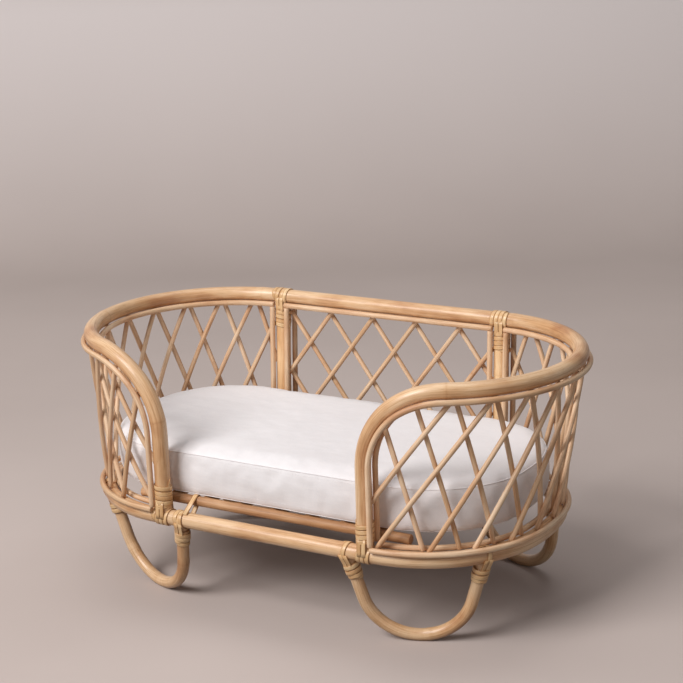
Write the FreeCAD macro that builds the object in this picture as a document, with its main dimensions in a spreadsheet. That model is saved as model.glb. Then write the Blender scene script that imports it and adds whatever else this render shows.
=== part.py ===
import FreeCAD, Part
import math
import os

import Sketcher

from FreeCAD import Placement, Rotation, Vector

# Rattan pet bed basket, in millimetres, +Z up, resting on four looped legs at Z = 0.
# A thick pole bent to an oval base ring carries one more thick pole, which stands up at the
# front as two uprights and runs round the ends and the back as the top rail. Two posts hold the
# rail at the back. Thin rods cross in two layers between framing strips and close the two ends
# and the back. Flat peel binds every joint, a ladder of thin poles carries the loose cushion.

doc = FreeCAD.newDocument("PetBedBasket")

SIZES = [
    ("pole_diameter", 18.0, "thick pole of ring, rail and posts"),
    ("leg_pole_diameter", 14.0, "pole of the looped legs"),
    ("seat_pole_diameter", 11.5, "poles and bars of the seat frame"),
    ("strip_diameter", 6.6, "framing strips of the panels"),
    ("rod_diameter", 5.6, "lattice rods"),
    ("ring_height", 108.5, "axis of the base ring above the floor"),
    ("ring_half_length", 277.0, "axis of the ring, middle to end"),
    ("ring_half_depth", 147.0, "axis of the ring, middle to front"),
    ("ring_end_radius", 250.0, "flat bow of each end of the ring"),
    ("ring_corner_radius", 134.0, "corners of the ring"),
    ("rail_height", 296.0, "axis of the top rail above the floor"),
    ("rail_half_length", 302.0, "axis of the rail, middle to end"),
    ("rail_back_reach", 157.0, "axis of the rail behind the middle of the ring"),
    ("rail_back_radius", 147.0, "back corners of the rail"),
    ("arm_straight", 31.8, "straight of the arm before it bends round the front corner"),
    ("arm_bend_radius", 90.0, "bend from the upright into the arm"),
    ("upright_half_spacing", 132.0, "upright to the middle"),
    ("post_half_spacing", 152.5, "back post to the middle"),
    ("leg_front_half_spacing", 108.0, "front end of a leg loop to the middle"),
    ("leg_side_angle", 37.5, "side end of a leg loop, round the corner, degrees"),
    ("leg_limb_lean", 15.0, "lean of each limb inside its loop, degrees"),
    ("front_leg_tuck", 15.0, "foot of a front loop inside the line of its two ends"),
    ("rear_leg_kick", 15.0, "foot of a rear loop outside the line of its two ends"),
    ("foot_flat", 0.8, "depth worn off under each loop"),
    ("rod_play", 0.9, "room between rods and strips for the flare of the wall"),
    ("layer_gap", 0.3, "between the two layers of rods"),
    ("cope_gap", 0.1, "between a coped pole end and the pole it meets"),
    ("binding_gap", 0.3, "between peel and pole"),
    ("strip_gap", 0.15, "between a strip and what lies beside it"),
    ("post_strip_room", 1.0, "more room between a post and the strips that stand beside it"),
    ("seat_gap", 0.1, "between the seat frame and the strips under it"),
    ("peel_width", 5.4, "flat peel, across"),
    ("peel_thickness", 1.1, "flat peel, through"),
    ("peel_spacing", 0.2, "between neighbouring strands"),
    ("leg_wraps", 4.0, "turns of peel round a leg end"),
    ("post_wraps", 5.0, "turns of peel round a post head"),
    ("foot_wraps", 5.0, "turns of peel round the foot of an upright or post"),
    ("leg_strands", 2.0, "strands over the ring at a leg end"),
    ("pole_strands", 4.0, "strands over the ring or rail at an upright or post"),
    ("end_rod_pitch", 40.0, "end rod to end rod along the ring"),
    ("end_rod_foot", 17.0, "foot of the first rod that leans to the back, from the upright"),
    ("end_rod_back_run", 110.0, "how far that rod leans to the back on its way up"),
    ("end_rod_back_ease", 32.0, "how much less the rods near the back lean"),
    ("end_rod_ease_share", 0.5, "share of that ease still to come at each next rod"),
    ("end_rod_head", 54.0, "head of the first rod that leans to the front, from the upright"),
    ("end_rod_front_run", 50.0, "how far a rod leans to the front on its way up"),
    ("back_rod_pitch", 59.5, "back rod to back rod along the ring"),
    ("back_rod_run", 122.0, "how far a back rod leans on its way up"),
    ("back_outer_head", 61.0, "head of the first outer back rod, from the right post"),
    ("back_inner_head", 52.5, "head of the first inner back rod, from the right post"),
    ("shortest_rod", 100.0, "a rod that would be shorter, axis to axis, is left out"),
    ("seat_side_gap", 0.3, "seat pole to the strips that stand beside it"),
    ("seat_past_posts", 23.5, "how far a seat pole reaches past the posts at each end"),
    ("seat_bars", 7.0, "cross bars of the seat frame"),
    ("seat_bar_pitch", 45.0, "cross bar to cross bar"),
    ("cushion_gap", 3.0, "cushion to the strips in front of it and behind it"),
    ("cushion_end_reach", 7.0, "how much nearer the cushion comes to the wall at each end"),
    ("cushion_height", 57.0, "cushion, bottom to crown"),
    ("cushion_top_round", 10.0, "rounding of the upper edge"),
    ("cushion_foot_round", 6.0, "rounding of the lower edge"),
    ("cushion_rest_gap", 0.3, "cushion to the seat frame"),
    ("cover_thickness", 1.5, "sewn cover of the cushion"),
    ("cover_gap", 0.3, "cover to filling"),
    ("screw_diameter", 3.5, "wood screw shank"),
    ("screw_head_diameter", 7.0, "countersunk head"),
    ("screw_sink", 1.2, "head below the surface of the pole"),
    ("screw_length", 34.0, "wood screw, head to tip"),
    ("screw_tip", 5.0, "tapered tip of a screw"),
    ("screw_gap", 0.05, "screw to its hole"),
    ("groove_depth", 0.5, "groove between two turns of peel"),
]

sheet = doc.addObject("Spreadsheet::Sheet", "Sizes")
for row, (alias, value, meaning) in enumerate(SIZES, start=1):
    sheet.set("A%d" % row, alias)
    sheet.set("B%d" % row, str(value))
    sheet.setAlias("B%d" % row, alias)
    sheet.set("C%d" % row, meaning)
doc.recompute()


def size(alias):
    """The plain number in the sheet's cell of this name."""
    return float(sheet.get(alias))


UP = Vector(0, 0, 1)
NEGLIGIBLE = 1e-7
NEARLY_STRAIGHT = 1e-3
SEAM = 1e-5
TANGENT_STEP = 1e-4
HALVING_COUNT = 50
ARM_SPAN_COUNT = 4
ROD_SPAN_COUNT = 4
ROD_STEP_COUNT = 100
EXTRA_ROD_COUNT = 4
FULL_TURN = 360.0

pole_radius = size("pole_diameter") / 2
leg_radius = size("leg_pole_diameter") / 2
seat_radius = size("seat_pole_diameter") / 2
strip_radius = size("strip_diameter") / 2
rod_radius = size("rod_diameter") / 2
ring_z = size("ring_height")
rail_z = size("rail_height")

# The origin lies under the middle of the whole bed, and the rail reaches further back than the
# ring reaches forward, so the middle of the ring lies in front of the origin by half of that.
ring_y = -(size("rail_back_reach") - size("ring_half_depth")) / 2

# Two layers of rods lie between an inner and an outer strip, and the strips leave room for the
# peel that binds the thick poles.
layer_offset = rod_radius + size("layer_gap") / 2
strip_offset = 2 * rod_radius + size("layer_gap") / 2 + size("rod_play") + strip_radius
bound_radius = pole_radius + size("binding_gap") + size("peel_thickness")
strip_inset = math.sqrt((bound_radius + size("strip_gap") + strip_radius) ** 2 - strip_offset ** 2)
strip_top = strip_inset + strip_radius


# ---------------------------------------------------------------- plan curves
# A plan curve is a list of pieces that run on smoothly, counter-clockwise seen from above:
# ("line", start, end) or ("arc", centre, radius, start angle, end angle) with angles in radians.

def turned(angle):
    """Unit vector in the plan at this angle."""
    return Vector(math.cos(angle), math.sin(angle), 0)


def outward(direction):
    """Level unit vector to the right of a direction, which points out of the basket."""
    return Vector(direction.y, -direction.x, 0)


def piece_length(piece):
    if piece[0] == "line":
        return (piece[2] - piece[1]).Length
    return piece[2] * (piece[4] - piece[3])


def piece_part(piece, start, end):
    """The stretch of a piece between two distances from its start."""
    if piece[0] == "line":
        direction = (piece[2] - piece[1]).normalize()
        return ("line", piece[1] + direction * start, piece[1] + direction * end)
    kind, centre, radius, first, last = piece
    return (kind, centre, radius, first + start / radius, first + end / radius)


def plan_length(plan):
    return sum(piece_length(piece) for piece in plan)


def plan_point(plan, distance):
    """Point, direction and outward normal at this distance along a plan curve."""
    for piece in plan:
        length = piece_length(piece)
        if distance <= length or piece is plan[-1]:
            break
        distance -= length
    if piece[0] == "line":
        direction = (piece[2] - piece[1]).normalize()
        return piece[1] + direction * distance, direction, outward(direction)
    kind, centre, radius, first, last = piece
    angle = first + distance / radius
    direction = turned(angle + math.pi / 2)
    return centre + turned(angle) * radius, direction, outward(direction)


def plan_offset(plan, offset):
    """The parallel curve, further out by this much."""
    moved = []
    for piece in plan:
        if piece[0] == "line":
            side = outward((piece[2] - piece[1]).normalize()) * offset
            moved.append(("line", piece[1] + side, piece[2] + side))
        else:
            kind, centre, radius, first, last = piece
            moved.append((kind, centre, radius + offset, first, last))
    return moved


def plan_between(plan, start, end):
    """The stretch of a plan curve between two distances from its start."""
    kept = []
    passed = 0.0
    for piece in plan:
        length = piece_length(piece)
        first = max(start - passed, 0.0)
        last = min(end - passed, length)
        if last - first > NEGLIGIBLE:
            kept.append(piece_part(piece, first, last))
        passed += length
    return kept


def mirrored_plan(plan):
    """The same curve on the other side of the middle, still counter-clockwise."""
    flipped = []
    for piece in reversed(plan):
        if piece[0] == "line":
            flipped.append(("line", across(piece[2]), across(piece[1])))
        else:
            kind, centre, radius, first, last = piece
            flipped.append((kind, across(centre), radius, math.pi - last, math.pi - first))
    return flipped


def across(point):
    """The same point on the other side of the middle."""
    return Vector(-point.x, point.y, point.z)


def distance_at_x(plan, start, end, x):
    """Distance along a stretch of plan on which x only falls, where it passes this x."""
    for halving in range(HALVING_COUNT):
        half = (start + end) / 2
        if plan_point(plan, half)[0].x > x:
            start = half
        else:
            end = half
    return start


# ---------------------------------------------------------------- ring and rail in the plan
middle = Vector(0, ring_y, 0)


def quarter_of_ring():
    """Front middle to the end of the ring: front line, corner, half of the end bow."""
    end_radius = size("ring_end_radius")
    corner_radius = size("ring_corner_radius")
    end_x = size("ring_half_length") - end_radius
    corner_y = size("ring_half_depth") - corner_radius
    corner_x = end_x + math.sqrt((end_radius - corner_radius) ** 2 - corner_y ** 2)
    meeting = math.atan2(corner_y, corner_x - end_x)
    front = middle - Vector(0, size("ring_half_depth"), 0)
    return [
        ("line", front, front + Vector(corner_x, 0, 0)),
        ("arc", middle + Vector(corner_x, -corner_y, 0), corner_radius, -math.pi / 2, -meeting),
        ("arc", middle + Vector(end_x, 0, 0), end_radius, -meeting, 0.0),
    ]


def front_to_back(quarter):
    """The quarter turned over to the back half."""
    flipped = []
    for piece in reversed(quarter):
        if piece[0] == "line":
            ends = [Vector(point.x, 2 * middle.y - point.y, 0) for point in (piece[2], piece[1])]
            flipped.append(("line", ends[0], ends[1]))
        else:
            kind, centre, radius, first, last = piece
            turned_centre = Vector(centre.x, 2 * middle.y - centre.y, 0)
            flipped.append((kind, turned_centre, radius, -last, -first))
    return flipped


ring_quarter = quarter_of_ring()
ring_right = ring_quarter + front_to_back(ring_quarter)
ring_plan = ring_right + mirrored_plan(ring_right)
ring_corner = ring_quarter[1]

upright_foot = plan_point(ring_plan, size("upright_half_spacing"))[0]


def right_of_rail():
    """Right half of the rail in the plan, from the upright to the middle of the back.

    The arm leaves the upright straight, then bends round the front corner until it runs
    straight back, and a second arc takes it round to the line of the back. The straight, the
    depth and the width of that corner settle how far the arm turns away from the front line."""
    back_radius = size("rail_back_radius")
    back_line = middle.y + size("rail_back_reach")
    centre_y = back_line - back_radius
    deep = centre_y - upright_foot.y
    wide = size("rail_half_length") - upright_foot.x
    straight = size("arm_straight")
    arm_angle = 2 * math.atan((deep + straight) / wide) - math.pi / 2
    arm_direction = turned(arm_angle)
    front_radius = (wide - straight * arm_direction.x) / (1 - math.sin(arm_angle))
    front_centre = Vector(size("rail_half_length") - front_radius, centre_y, 0)
    back_centre = Vector(size("rail_half_length") - back_radius, centre_y, 0)
    return [
        ("line", upright_foot, upright_foot + arm_direction * straight),
        ("arc", front_centre, front_radius, arm_angle - math.pi / 2, 0.0),
        ("arc", back_centre, back_radius, 0.0, math.pi / 2),
        ("line", Vector(back_centre.x, back_line, 0), Vector(0, back_line, 0)),
    ]


rail_right = right_of_rail()
rail_plan = rail_right + mirrored_plan(rail_right)

ring_length = plan_length(ring_plan)
rail_length = plan_length(rail_plan)
ring_post = distance_at_x(ring_plan, ring_length / 4, ring_length / 2, size("post_half_spacing"))
rail_post = distance_at_x(rail_plan, rail_length / 4, rail_length / 2, size("post_half_spacing"))

# A panel of the wall is the strip of plan under it and the strip of plan over it.
end_panel = (
    plan_between(ring_plan, size("upright_half_spacing"), ring_post),
    plan_between(rail_plan, 0.0, rail_post),
)
back_panel = (
    plan_between(ring_plan, ring_post, ring_length - ring_post),
    plan_between(rail_plan, rail_post, rail_length - rail_post),
)

wall_foot = ring_z + strip_inset
wall_head = rail_z - strip_inset


def wall_point(panel, along, height, offset):
    """Point of a wall, this far along its foot, at this height, moved outward by the offset."""
    lower, upper = panel
    share = along / plan_length(lower)
    foot, foot_direction = plan_point(lower, along)[:2]
    head, head_direction = plan_point(upper, share * plan_length(upper))[:2]
    rise = (height - wall_foot) / (wall_head - wall_foot)
    point = foot * (1 - rise) + head * rise
    direction = foot_direction * plan_length(lower) * (1 - rise)
    direction += head_direction * plan_length(upper) * rise
    return point + outward(direction.normalize()) * offset + UP * height


# ---------------------------------------------------------------- runs in space
# A run is a list of stretches that follow on smoothly: ("line", start, end) or
# ("arc", start, centre, axis, angle), which turns right-handed about its axis.

def lifted(plan, height):
    """A plan curve as a level run at this height."""
    run = []
    for piece in plan:
        if piece[0] == "line":
            run.append(("line", piece[1] + UP * height, piece[2] + UP * height))
        else:
            kind, centre, radius, first, last = piece
            hub = centre + UP * height
            run.append(("arc", hub + turned(first) * radius, hub, UP, last - first))
    return run


def tangent_stretch(start, heading, end):
    """The arc, or the line, that leaves start along this heading and reaches end."""
    chord = end - start
    ahead = chord.dot(heading)
    aside = chord - heading * ahead
    if aside.Length < NEARLY_STRAIGHT * chord.Length:
        return ("line", start, end)
    side = Vector(aside).normalize()
    centre = start + side * (chord.dot(chord) / (2 * chord.dot(side)))
    angle = 2 * math.atan2(chord.dot(side), ahead)
    return ("arc", start, centre, heading.cross(side).normalize(), angle)


def smooth_pair(start, heading, end, arrival):
    """Two tangent arcs from start to end that keep the headings at both."""
    chord = end - start
    both = chord.dot(heading + arrival)
    bend = 2 * (1 - heading.dot(arrival))
    if bend < NEGLIGIBLE:
        return [("line", start, end)]
    reach = (math.sqrt(both ** 2 + bend * chord.dot(chord)) - both) / bend
    halfway = (start + end + (heading - arrival) * reach) * 0.5
    second = tangent_stretch(end, arrival * -1, halfway)
    if second[0] == "arc":
        second = ("arc", halfway, second[2], second[3] * -1, second[4])
    else:
        second = ("line", halfway, end)
    return [tangent_stretch(start, heading, halfway), second]


def run_through(curve, first, last, spans):
    """Smooth run of arcs along curve(t), which gives a point for each t from first to last."""
    step = (last - first) * TANGENT_STEP
    stations = [first + (last - first) * i / spans for i in range(spans + 1)]
    points = [curve(t) for t in stations]
    headings = [(curve(t + step) - curve(t - step)).normalize() for t in stations]
    run = []
    for i in range(spans):
        run += smooth_pair(points[i], headings[i], points[i + 1], headings[i + 1])
    return run


def mirrored_run(run):
    """The run on the other side of the middle, walked the other way."""
    flipped = []
    for stretch in reversed(run):
        if stretch[0] == "line":
            flipped.append(("line", across(stretch[2]), across(stretch[1])))
        else:
            kind, start, centre, axis, angle = stretch
            end = centre + Rotation(axis, math.degrees(angle)).multVec(start - centre)
            flipped.append(("arc", across(end), across(centre), across(axis), angle))
    return flipped


def bent_pole(run, radius):
    """Round pole of this radius along a run, with square ends, or closed where the run closes."""
    first = run[0]
    if first[0] == "line":
        heading = first[2] - first[1]
    else:
        heading = first[3].cross(first[1] - first[2])
    rim = Part.Circle(first[1], heading, radius).toShape()
    first_rim = rim.copy()
    walls = []
    for stretch in run:
        if stretch[0] == "line":
            move = stretch[2] - stretch[1]
            walls.append(rim.extrude(move))
            rim = rim.translated(move)
        else:
            kind, start, centre, axis, angle = stretch
            walls.append(rim.revolve(centre, axis, math.degrees(angle)))
            rim = rim.rotated(centre, axis, math.degrees(angle))
    if (rim.Curve.Center - first_rim.Curve.Center).Length > radius:
        walls += [Part.Face(Part.Wire(edge)) for edge in (first_rim, rim)]
    skin = Part.makeCompound(walls)
    skin.sewShape(SEAM)
    solid = Part.Solid(Part.Shell(skin.Faces))
    if solid.Volume < 0:
        solid.reverse()
    return solid


def straight_rod(start, end, radius):
    """Round rod with square ends."""
    return Part.makeCylinder(radius, (end - start).Length, start, end - start)


# ---------------------------------------------------------------- making the sub-parts
made = []


def shaped(name, shape):
    """A document object that carries a shape of its own."""
    piece = doc.addObject("Part::Feature", name)
    piece.Shape = shape
    return piece


def keep(piece, label):
    """Names a finished sub-part and puts it on the list of those to write."""
    piece.Label = label
    made.append(piece)
    return piece


def cut(name, base, tool):
    """The base with the tool taken away."""
    result = doc.addObject("Part::Cut", name)
    result.Base = base
    result.Tool = tool
    return result


def origin_plane(body, role):
    return [plane for plane in body.Origin.OriginFeatures if plane.Role == role][0]


def sketch_on(body, role, name):
    sketch = body.newObject("Sketcher::SketchObject", name)
    sketch.AttachmentSupport = [(origin_plane(body, role), "")]
    sketch.MapMode = "FlatFace"
    return sketch


def constrain(sketch, kind, *where, driven_by=None):
    """Adds a constraint, and the expression that drives its value if there is one."""
    index = sketch.addConstraint(Sketcher.Constraint(kind, *where))
    if driven_by:
        sketch.setExpression("Constraints[%d]" % index, driven_by)


# How a sketch names its own axes and the points of a piece of geometry.
START, END, CENTRE = range(1, 4)
ORIGIN = X_AXIS = -START
Y_AXIS = -END


def oval_sketch(body, name, inset, inset_rule, reach, reach_rule):
    """Closed oval inside the line of the ring, parallel to it but longer at each end by a reach."""
    further = Vector(reach, 0, 0)
    corner_centre = ring_quarter[1][1] - middle + further
    corner_radius = size("ring_corner_radius") - inset
    end_centre = ring_quarter[2][1] - middle + further
    end_radius = size("ring_end_radius") - inset
    meeting = -ring_quarter[1][4]
    half_depth = size("ring_half_depth") - inset
    quarter = math.pi / 2

    def line(side):
        start = Vector(side * corner_centre.x, side * half_depth, 0)
        return Part.LineSegment(start, Vector(-start.x, start.y, 0))

    def bow(centre, radius, first, last):
        return Part.ArcOfCircle(Part.Circle(centre, UP, radius), first, last)

    right = Vector(corner_centre.x, corner_centre.y, 0)
    right_back = Vector(corner_centre.x, -corner_centre.y, 0)
    pieces = [
        line(-1),
        bow(right, corner_radius, -quarter, -meeting),
        bow(end_centre, end_radius, -meeting, meeting),
        bow(right_back, corner_radius, meeting, quarter),
        line(1),
        bow(across(right_back), corner_radius, quarter, math.pi - meeting),
        bow(across(end_centre), end_radius, math.pi - meeting, math.pi + meeting),
        bow(across(right), corner_radius, math.pi + meeting, math.pi + quarter),
    ]
    count = len(pieces)
    sketch = sketch_on(body, "XY_Plane", name)
    sketch.addGeometry(pieces, False)
    front, corner, end_bow, back_corner, back, far_corner, far_bow, left_corner = range(count)
    for index in range(count):
        constrain(sketch, "Tangent", index, END, (index + 1) % count, START)
    constrain(sketch, "Horizontal", front)
    constrain(sketch, "Horizontal", back)
    constrain(sketch, "Equal", corner, back_corner)
    constrain(sketch, "Equal", corner, far_corner)
    constrain(sketch, "Equal", end_bow, far_bow)
    constrain(sketch, "PointOnObject", end_bow, CENTRE, X_AXIS)
    constrain(sketch, "PointOnObject", far_bow, CENTRE, X_AXIS)
    constrain(sketch, "Symmetric", corner, CENTRE, left_corner, CENTRE, Y_AXIS)
    constrain(sketch, "Radius", corner, corner_radius,
              driven_by="Sizes.ring_corner_radius - (%s)" % inset_rule)
    constrain(sketch, "Radius", end_bow, end_radius,
              driven_by="Sizes.ring_end_radius - (%s)" % inset_rule)
    constrain(sketch, "DistanceX", ORIGIN, START, end_bow, CENTRE, end_centre.x,
              driven_by="Sizes.ring_half_length - Sizes.ring_end_radius + (%s)" % reach_rule)
    constrain(sketch, "DistanceY", front, START, ORIGIN, START, half_depth,
              driven_by="Sizes.ring_half_depth - (%s)" % inset_rule)
    constrain(sketch, "DistanceY", ORIGIN, START, back, START, half_depth,
              driven_by="Sizes.ring_half_depth - (%s)" % inset_rule)
    return sketch


def profile_sketch(body, name, corners):
    """Closed outline on the XZ plane. A corner is (x, y, x rule, y rule), no rule on an axis."""
    sketch = sketch_on(body, "XZ_Plane", name)
    count = len(corners)
    points = [Vector(corner[0], corner[1], 0) for corner in corners]
    sides = [Part.LineSegment(points[i], points[(i + 1) % count]) for i in range(count)]
    sketch.addGeometry(sides, False)
    for i in range(count):
        constrain(sketch, "Coincident", i, END, (i + 1) % count, START)
    for i, (x, y, x_rule, y_rule) in enumerate(corners):
        if x_rule:
            constrain(sketch, "DistanceX", ORIGIN, START, i, START, x, driven_by=x_rule)
        else:
            constrain(sketch, "PointOnObject", i, START, Y_AXIS)
        if y_rule:
            constrain(sketch, "DistanceY", ORIGIN, START, i, START, y, driven_by=y_rule)
        else:
            constrain(sketch, "PointOnObject", i, START, X_AXIS)
    return sketch


# ---------------------------------------------------------------- screws and their holes
# A screw points down its own -Z, with the middle of the flat head at its origin.

def turned_body(name, corners):
    """Solid of revolution about its own Z axis."""
    body = doc.addObject("PartDesign::Body", name)
    profile = profile_sketch(body, name + "_profile", corners)
    turning = body.newObject("PartDesign::Revolution", name + "_turned")
    turning.Profile = profile
    turning.ReferenceAxis = (profile, ["V_Axis"])
    turning.Angle = FULL_TURN
    return body


head_radius = size("screw_head_diameter") / 2
shank_radius = size("screw_diameter") / 2
screw_length = size("screw_length")
countersink = head_radius - shank_radius

HEAD = "Sizes.screw_head_diameter / 2"
SHANK = "Sizes.screw_diameter / 2"
SINK = "(Sizes.screw_diameter - Sizes.screw_head_diameter) / 2"
screw = turned_body("wood_screw", [
    (0, 0, None, None),
    (head_radius, 0, HEAD, None),
    (shank_radius, -countersink, SHANK, SINK),
    (shank_radius, size("screw_tip") - screw_length, SHANK, "Sizes.screw_tip - Sizes.screw_length"),
    (0, -screw_length, None, "-Sizes.screw_length"),
])

room = size("screw_gap")
hole = turned_body("screw_hole", [
    (0, pole_radius, None, "Sizes.pole_diameter / 2"),
    (head_radius + room, pole_radius, HEAD + " + Sizes.screw_gap", "Sizes.pole_diameter / 2"),
    (head_radius + room, 0, HEAD + " + Sizes.screw_gap", None),
    (shank_radius + room, -countersink, SHANK + " + Sizes.screw_gap", SINK),
    (shank_radius + room, -screw_length, SHANK + " + Sizes.screw_gap", "-Sizes.screw_length"),
    (0, -screw_length, None, "-Sizes.screw_length"),
])
doc.recompute()


def screw_place(joint, direction):
    """Where a screw sits that is driven this way through a thick pole at a joint."""
    head = joint - direction * (pole_radius - size("screw_sink"))
    return Placement(head, Rotation(UP * -1, direction))


def placed_copies(body, places):
    """One shape with a copy of the body at each place."""
    return Part.makeCompound([body.Shape.transformed(place.toMatrix()) for place in places])


# ---------------------------------------------------------------- looped legs
# Each leg is one pole bent to a U that hangs from two places on the ring. The plane of a front
# loop tips inward, so that its foot stands inside the line of its two ends. The plane of a rear
# loop tips outward.

def leg_ends(side, rear):
    """The two places on the axis of the ring that carry a leg, the front or rear one first."""
    first = plan_point(ring_plan, size("leg_front_half_spacing"))[0]
    kind, centre, radius, low, high = ring_corner
    second = centre + turned(-math.radians(size("leg_side_angle"))) * radius
    ends = []
    for end in (first, second):
        depth = end.y - middle.y
        ends.append(Vector(side * end.x, middle.y + depth * rear, ring_z))
    return ends


def leg_frame(side, rear):
    """Placement of a loop, half the distance of its ends, and its depth in its own plane."""
    first, second = leg_ends(side, rear)
    spread = second - first
    spread_way = Vector(spread).normalize()
    inward = UP.cross(spread_way) * (side * rear)
    foot_height = leg_radius - size("foot_flat")
    tuck = size("front_leg_tuck") if rear > 0 else -size("rear_leg_kick")
    drop = inward * tuck - UP * (ring_z - foot_height)
    up_way = Vector(drop).normalize() * -1
    turn = Rotation(spread_way, up_way.cross(spread_way), up_way, "XZY")
    return Placement((first + second) * 0.5, turn), spread.Length / 2, drop.Length


def loop_body(name, half_width, depth):
    """Half of the U as a pipe along a sketched line, and its mirror image."""
    lean = math.radians(size("leg_limb_lean"))
    bend = (half_width * math.cos(lean) - depth * math.sin(lean)) / (1 - math.sin(lean))
    body = doc.addObject("PartDesign::Body", name)
    path = sketch_on(body, "XZ_Plane", name + "_line")
    hub = Vector(0, bend - depth, 0)
    last = hub + Vector(math.cos(lean), -math.sin(lean), 0) * bend
    path.addGeometry([
        Part.ArcOfCircle(Part.Circle(hub, UP, bend), -math.pi / 2, -lean),
        Part.LineSegment(last, Vector(half_width, 0, 0)),
    ], False)
    bow, limb = 0, 1
    constrain(path, "Tangent", bow, END, limb, START)
    constrain(path, "PointOnObject", bow, CENTRE, Y_AXIS)
    constrain(path, "PointOnObject", bow, START, Y_AXIS)
    constrain(path, "PointOnObject", limb, END, X_AXIS)
    constrain(path, "DistanceX", ORIGIN, START, limb, END, half_width)
    constrain(path, "DistanceY", bow, START, ORIGIN, START, depth)
    constrain(path, "Angle", limb, math.pi / 2 - lean, driven_by="90 - Sizes.leg_limb_lean")
    section = sketch_on(body, "YZ_Plane", name + "_section")
    section.addGeometry(Part.Circle(Vector(0, -depth, 0), UP, leg_radius), False)
    constrain(section, "Diameter", 0, 2 * leg_radius, driven_by="Sizes.leg_pole_diameter")
    constrain(section, "PointOnObject", 0, CENTRE, Y_AXIS)
    constrain(section, "DistanceY", 0, CENTRE, ORIGIN, START, depth)
    pipe = body.newObject("PartDesign::AdditivePipe", name + "_half")
    pipe.Profile = section
    pipe.Spine = (path, [])
    doc.recompute()
    mirror = body.newObject("PartDesign::Mirrored", name + "_whole")
    mirror.Originals = [pipe]
    mirror.MirrorPlane = (origin_plane(body, "YZ_Plane"), [""])
    body.Tip = mirror
    return body


ring_room = shaped("ring_room", bent_pole(lifted(ring_plan, ring_z), pole_radius + size("cope_gap")))
below_floor = doc.addObject("Part::Box", "below_floor")
below_floor.Length = 2 * size("rail_half_length")
below_floor.Width = 2 * size("rail_half_length")
below_floor.Height = ring_z
below_floor.setExpression("Length", "2 * Sizes.rail_half_length")
below_floor.setExpression("Width", "2 * Sizes.rail_half_length")
below_floor.setExpression("Height", "Sizes.ring_height")
below_floor.Placement = Placement(
    Vector(-size("rail_half_length"), -size("rail_half_length"), -ring_z), Rotation())

CORNERS = {
    "leg_front_right": (1, 1),
    "leg_front_left": (-1, 1),
    "leg_rear_right": (1, -1),
    "leg_rear_left": (-1, -1),
}
leg_joints = {}
leg_screw_places = []
for name, (side, rear) in CORNERS.items():
    place, half_width, depth = leg_frame(side, rear)
    loop = loop_body(name + "_loop", half_width, depth)
    loop.Placement = place
    lean = math.radians(size("leg_limb_lean"))
    joints = []
    for way in (-1, 1):
        joint = place.multVec(Vector(way * half_width, 0, 0))
        limb = place.Rotation.multVec(Vector(-way * math.sin(lean), 0, -math.cos(lean)))
        joints.append((joint, limb))
    leg_joints[name] = joints
    places = [screw_place(joint, limb) for joint, limb in joints]
    leg_screw_places += places
    coped = cut(name + "_coped", loop, ring_room)
    standing = cut(name + "_standing", coped, below_floor)
    holes = shaped(name + "_holes", placed_copies(hole, places))
    keep(cut(name + "_drilled", standing, holes), name)

# ---------------------------------------------------------------- top rail with its uprights
arm_bend = size("arm_bend_radius")


def arm_point(inset, offset, turn):
    """Point on the bend of the arm: inset toward the middle of the bend, offset out of the wall."""
    along = arm_bend - (arm_bend - inset) * math.cos(turn)
    point, direction, normal = plan_point(rail_right, along)
    height = rail_z - arm_bend + (arm_bend - inset) * math.sin(turn)
    return point + normal * offset + UP * height


def arm_run(start_height, inset, offset, end):
    """Up beside or along the upright, round the bend and level to this distance along the rail."""
    start = arm_point(inset, offset, 0.0)
    foot = Vector(start.x, start.y, start_height)
    level = plan_offset(plan_between(rail_right, arm_bend, end), offset)
    run = [("line", foot, start)]
    run += run_through(lambda turn: arm_point(inset, offset, turn), 0.0, math.pi / 2, ARM_SPAN_COUNT)
    return run + lifted(level, rail_z - inset)


half_rail = arm_run(ring_z, 0.0, 0.0, plan_length(rail_right))
rail_run = half_rail + mirrored_run(half_rail)

upright_joints = [upright_foot + UP * ring_z, across(upright_foot) + UP * ring_z]
post_low = wall_point(end_panel, plan_length(end_panel[0]), wall_foot, 0.0)
post_high = wall_point(end_panel, plan_length(end_panel[0]), wall_head, 0.0)
post_way = (post_high - post_low).normalize()
post_foot = post_low - post_way * ((post_low.z - ring_z) / post_way.z)
post_head = post_high + post_way * ((rail_z - post_high.z) / post_way.z)

upright_screw_places = [screw_place(joint, UP) for joint in upright_joints]
post_foot_places = [screw_place(post_foot, post_way)]
post_foot_places.append(screw_place(across(post_foot), across(post_way)))
post_head_places = [screw_place(post_head, post_way * -1)]
post_head_places.append(screw_place(across(post_head), across(post_way) * -1))

rail_pole = shaped("rail_pole", bent_pole(rail_run, pole_radius))
rail_coped = cut("rail_coped", rail_pole, ring_room)
rail_holes = shaped("rail_holes", placed_copies(hole, upright_screw_places + post_head_places))
keep(cut("rail_drilled", rail_coped, rail_holes), "top_rail")

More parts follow.
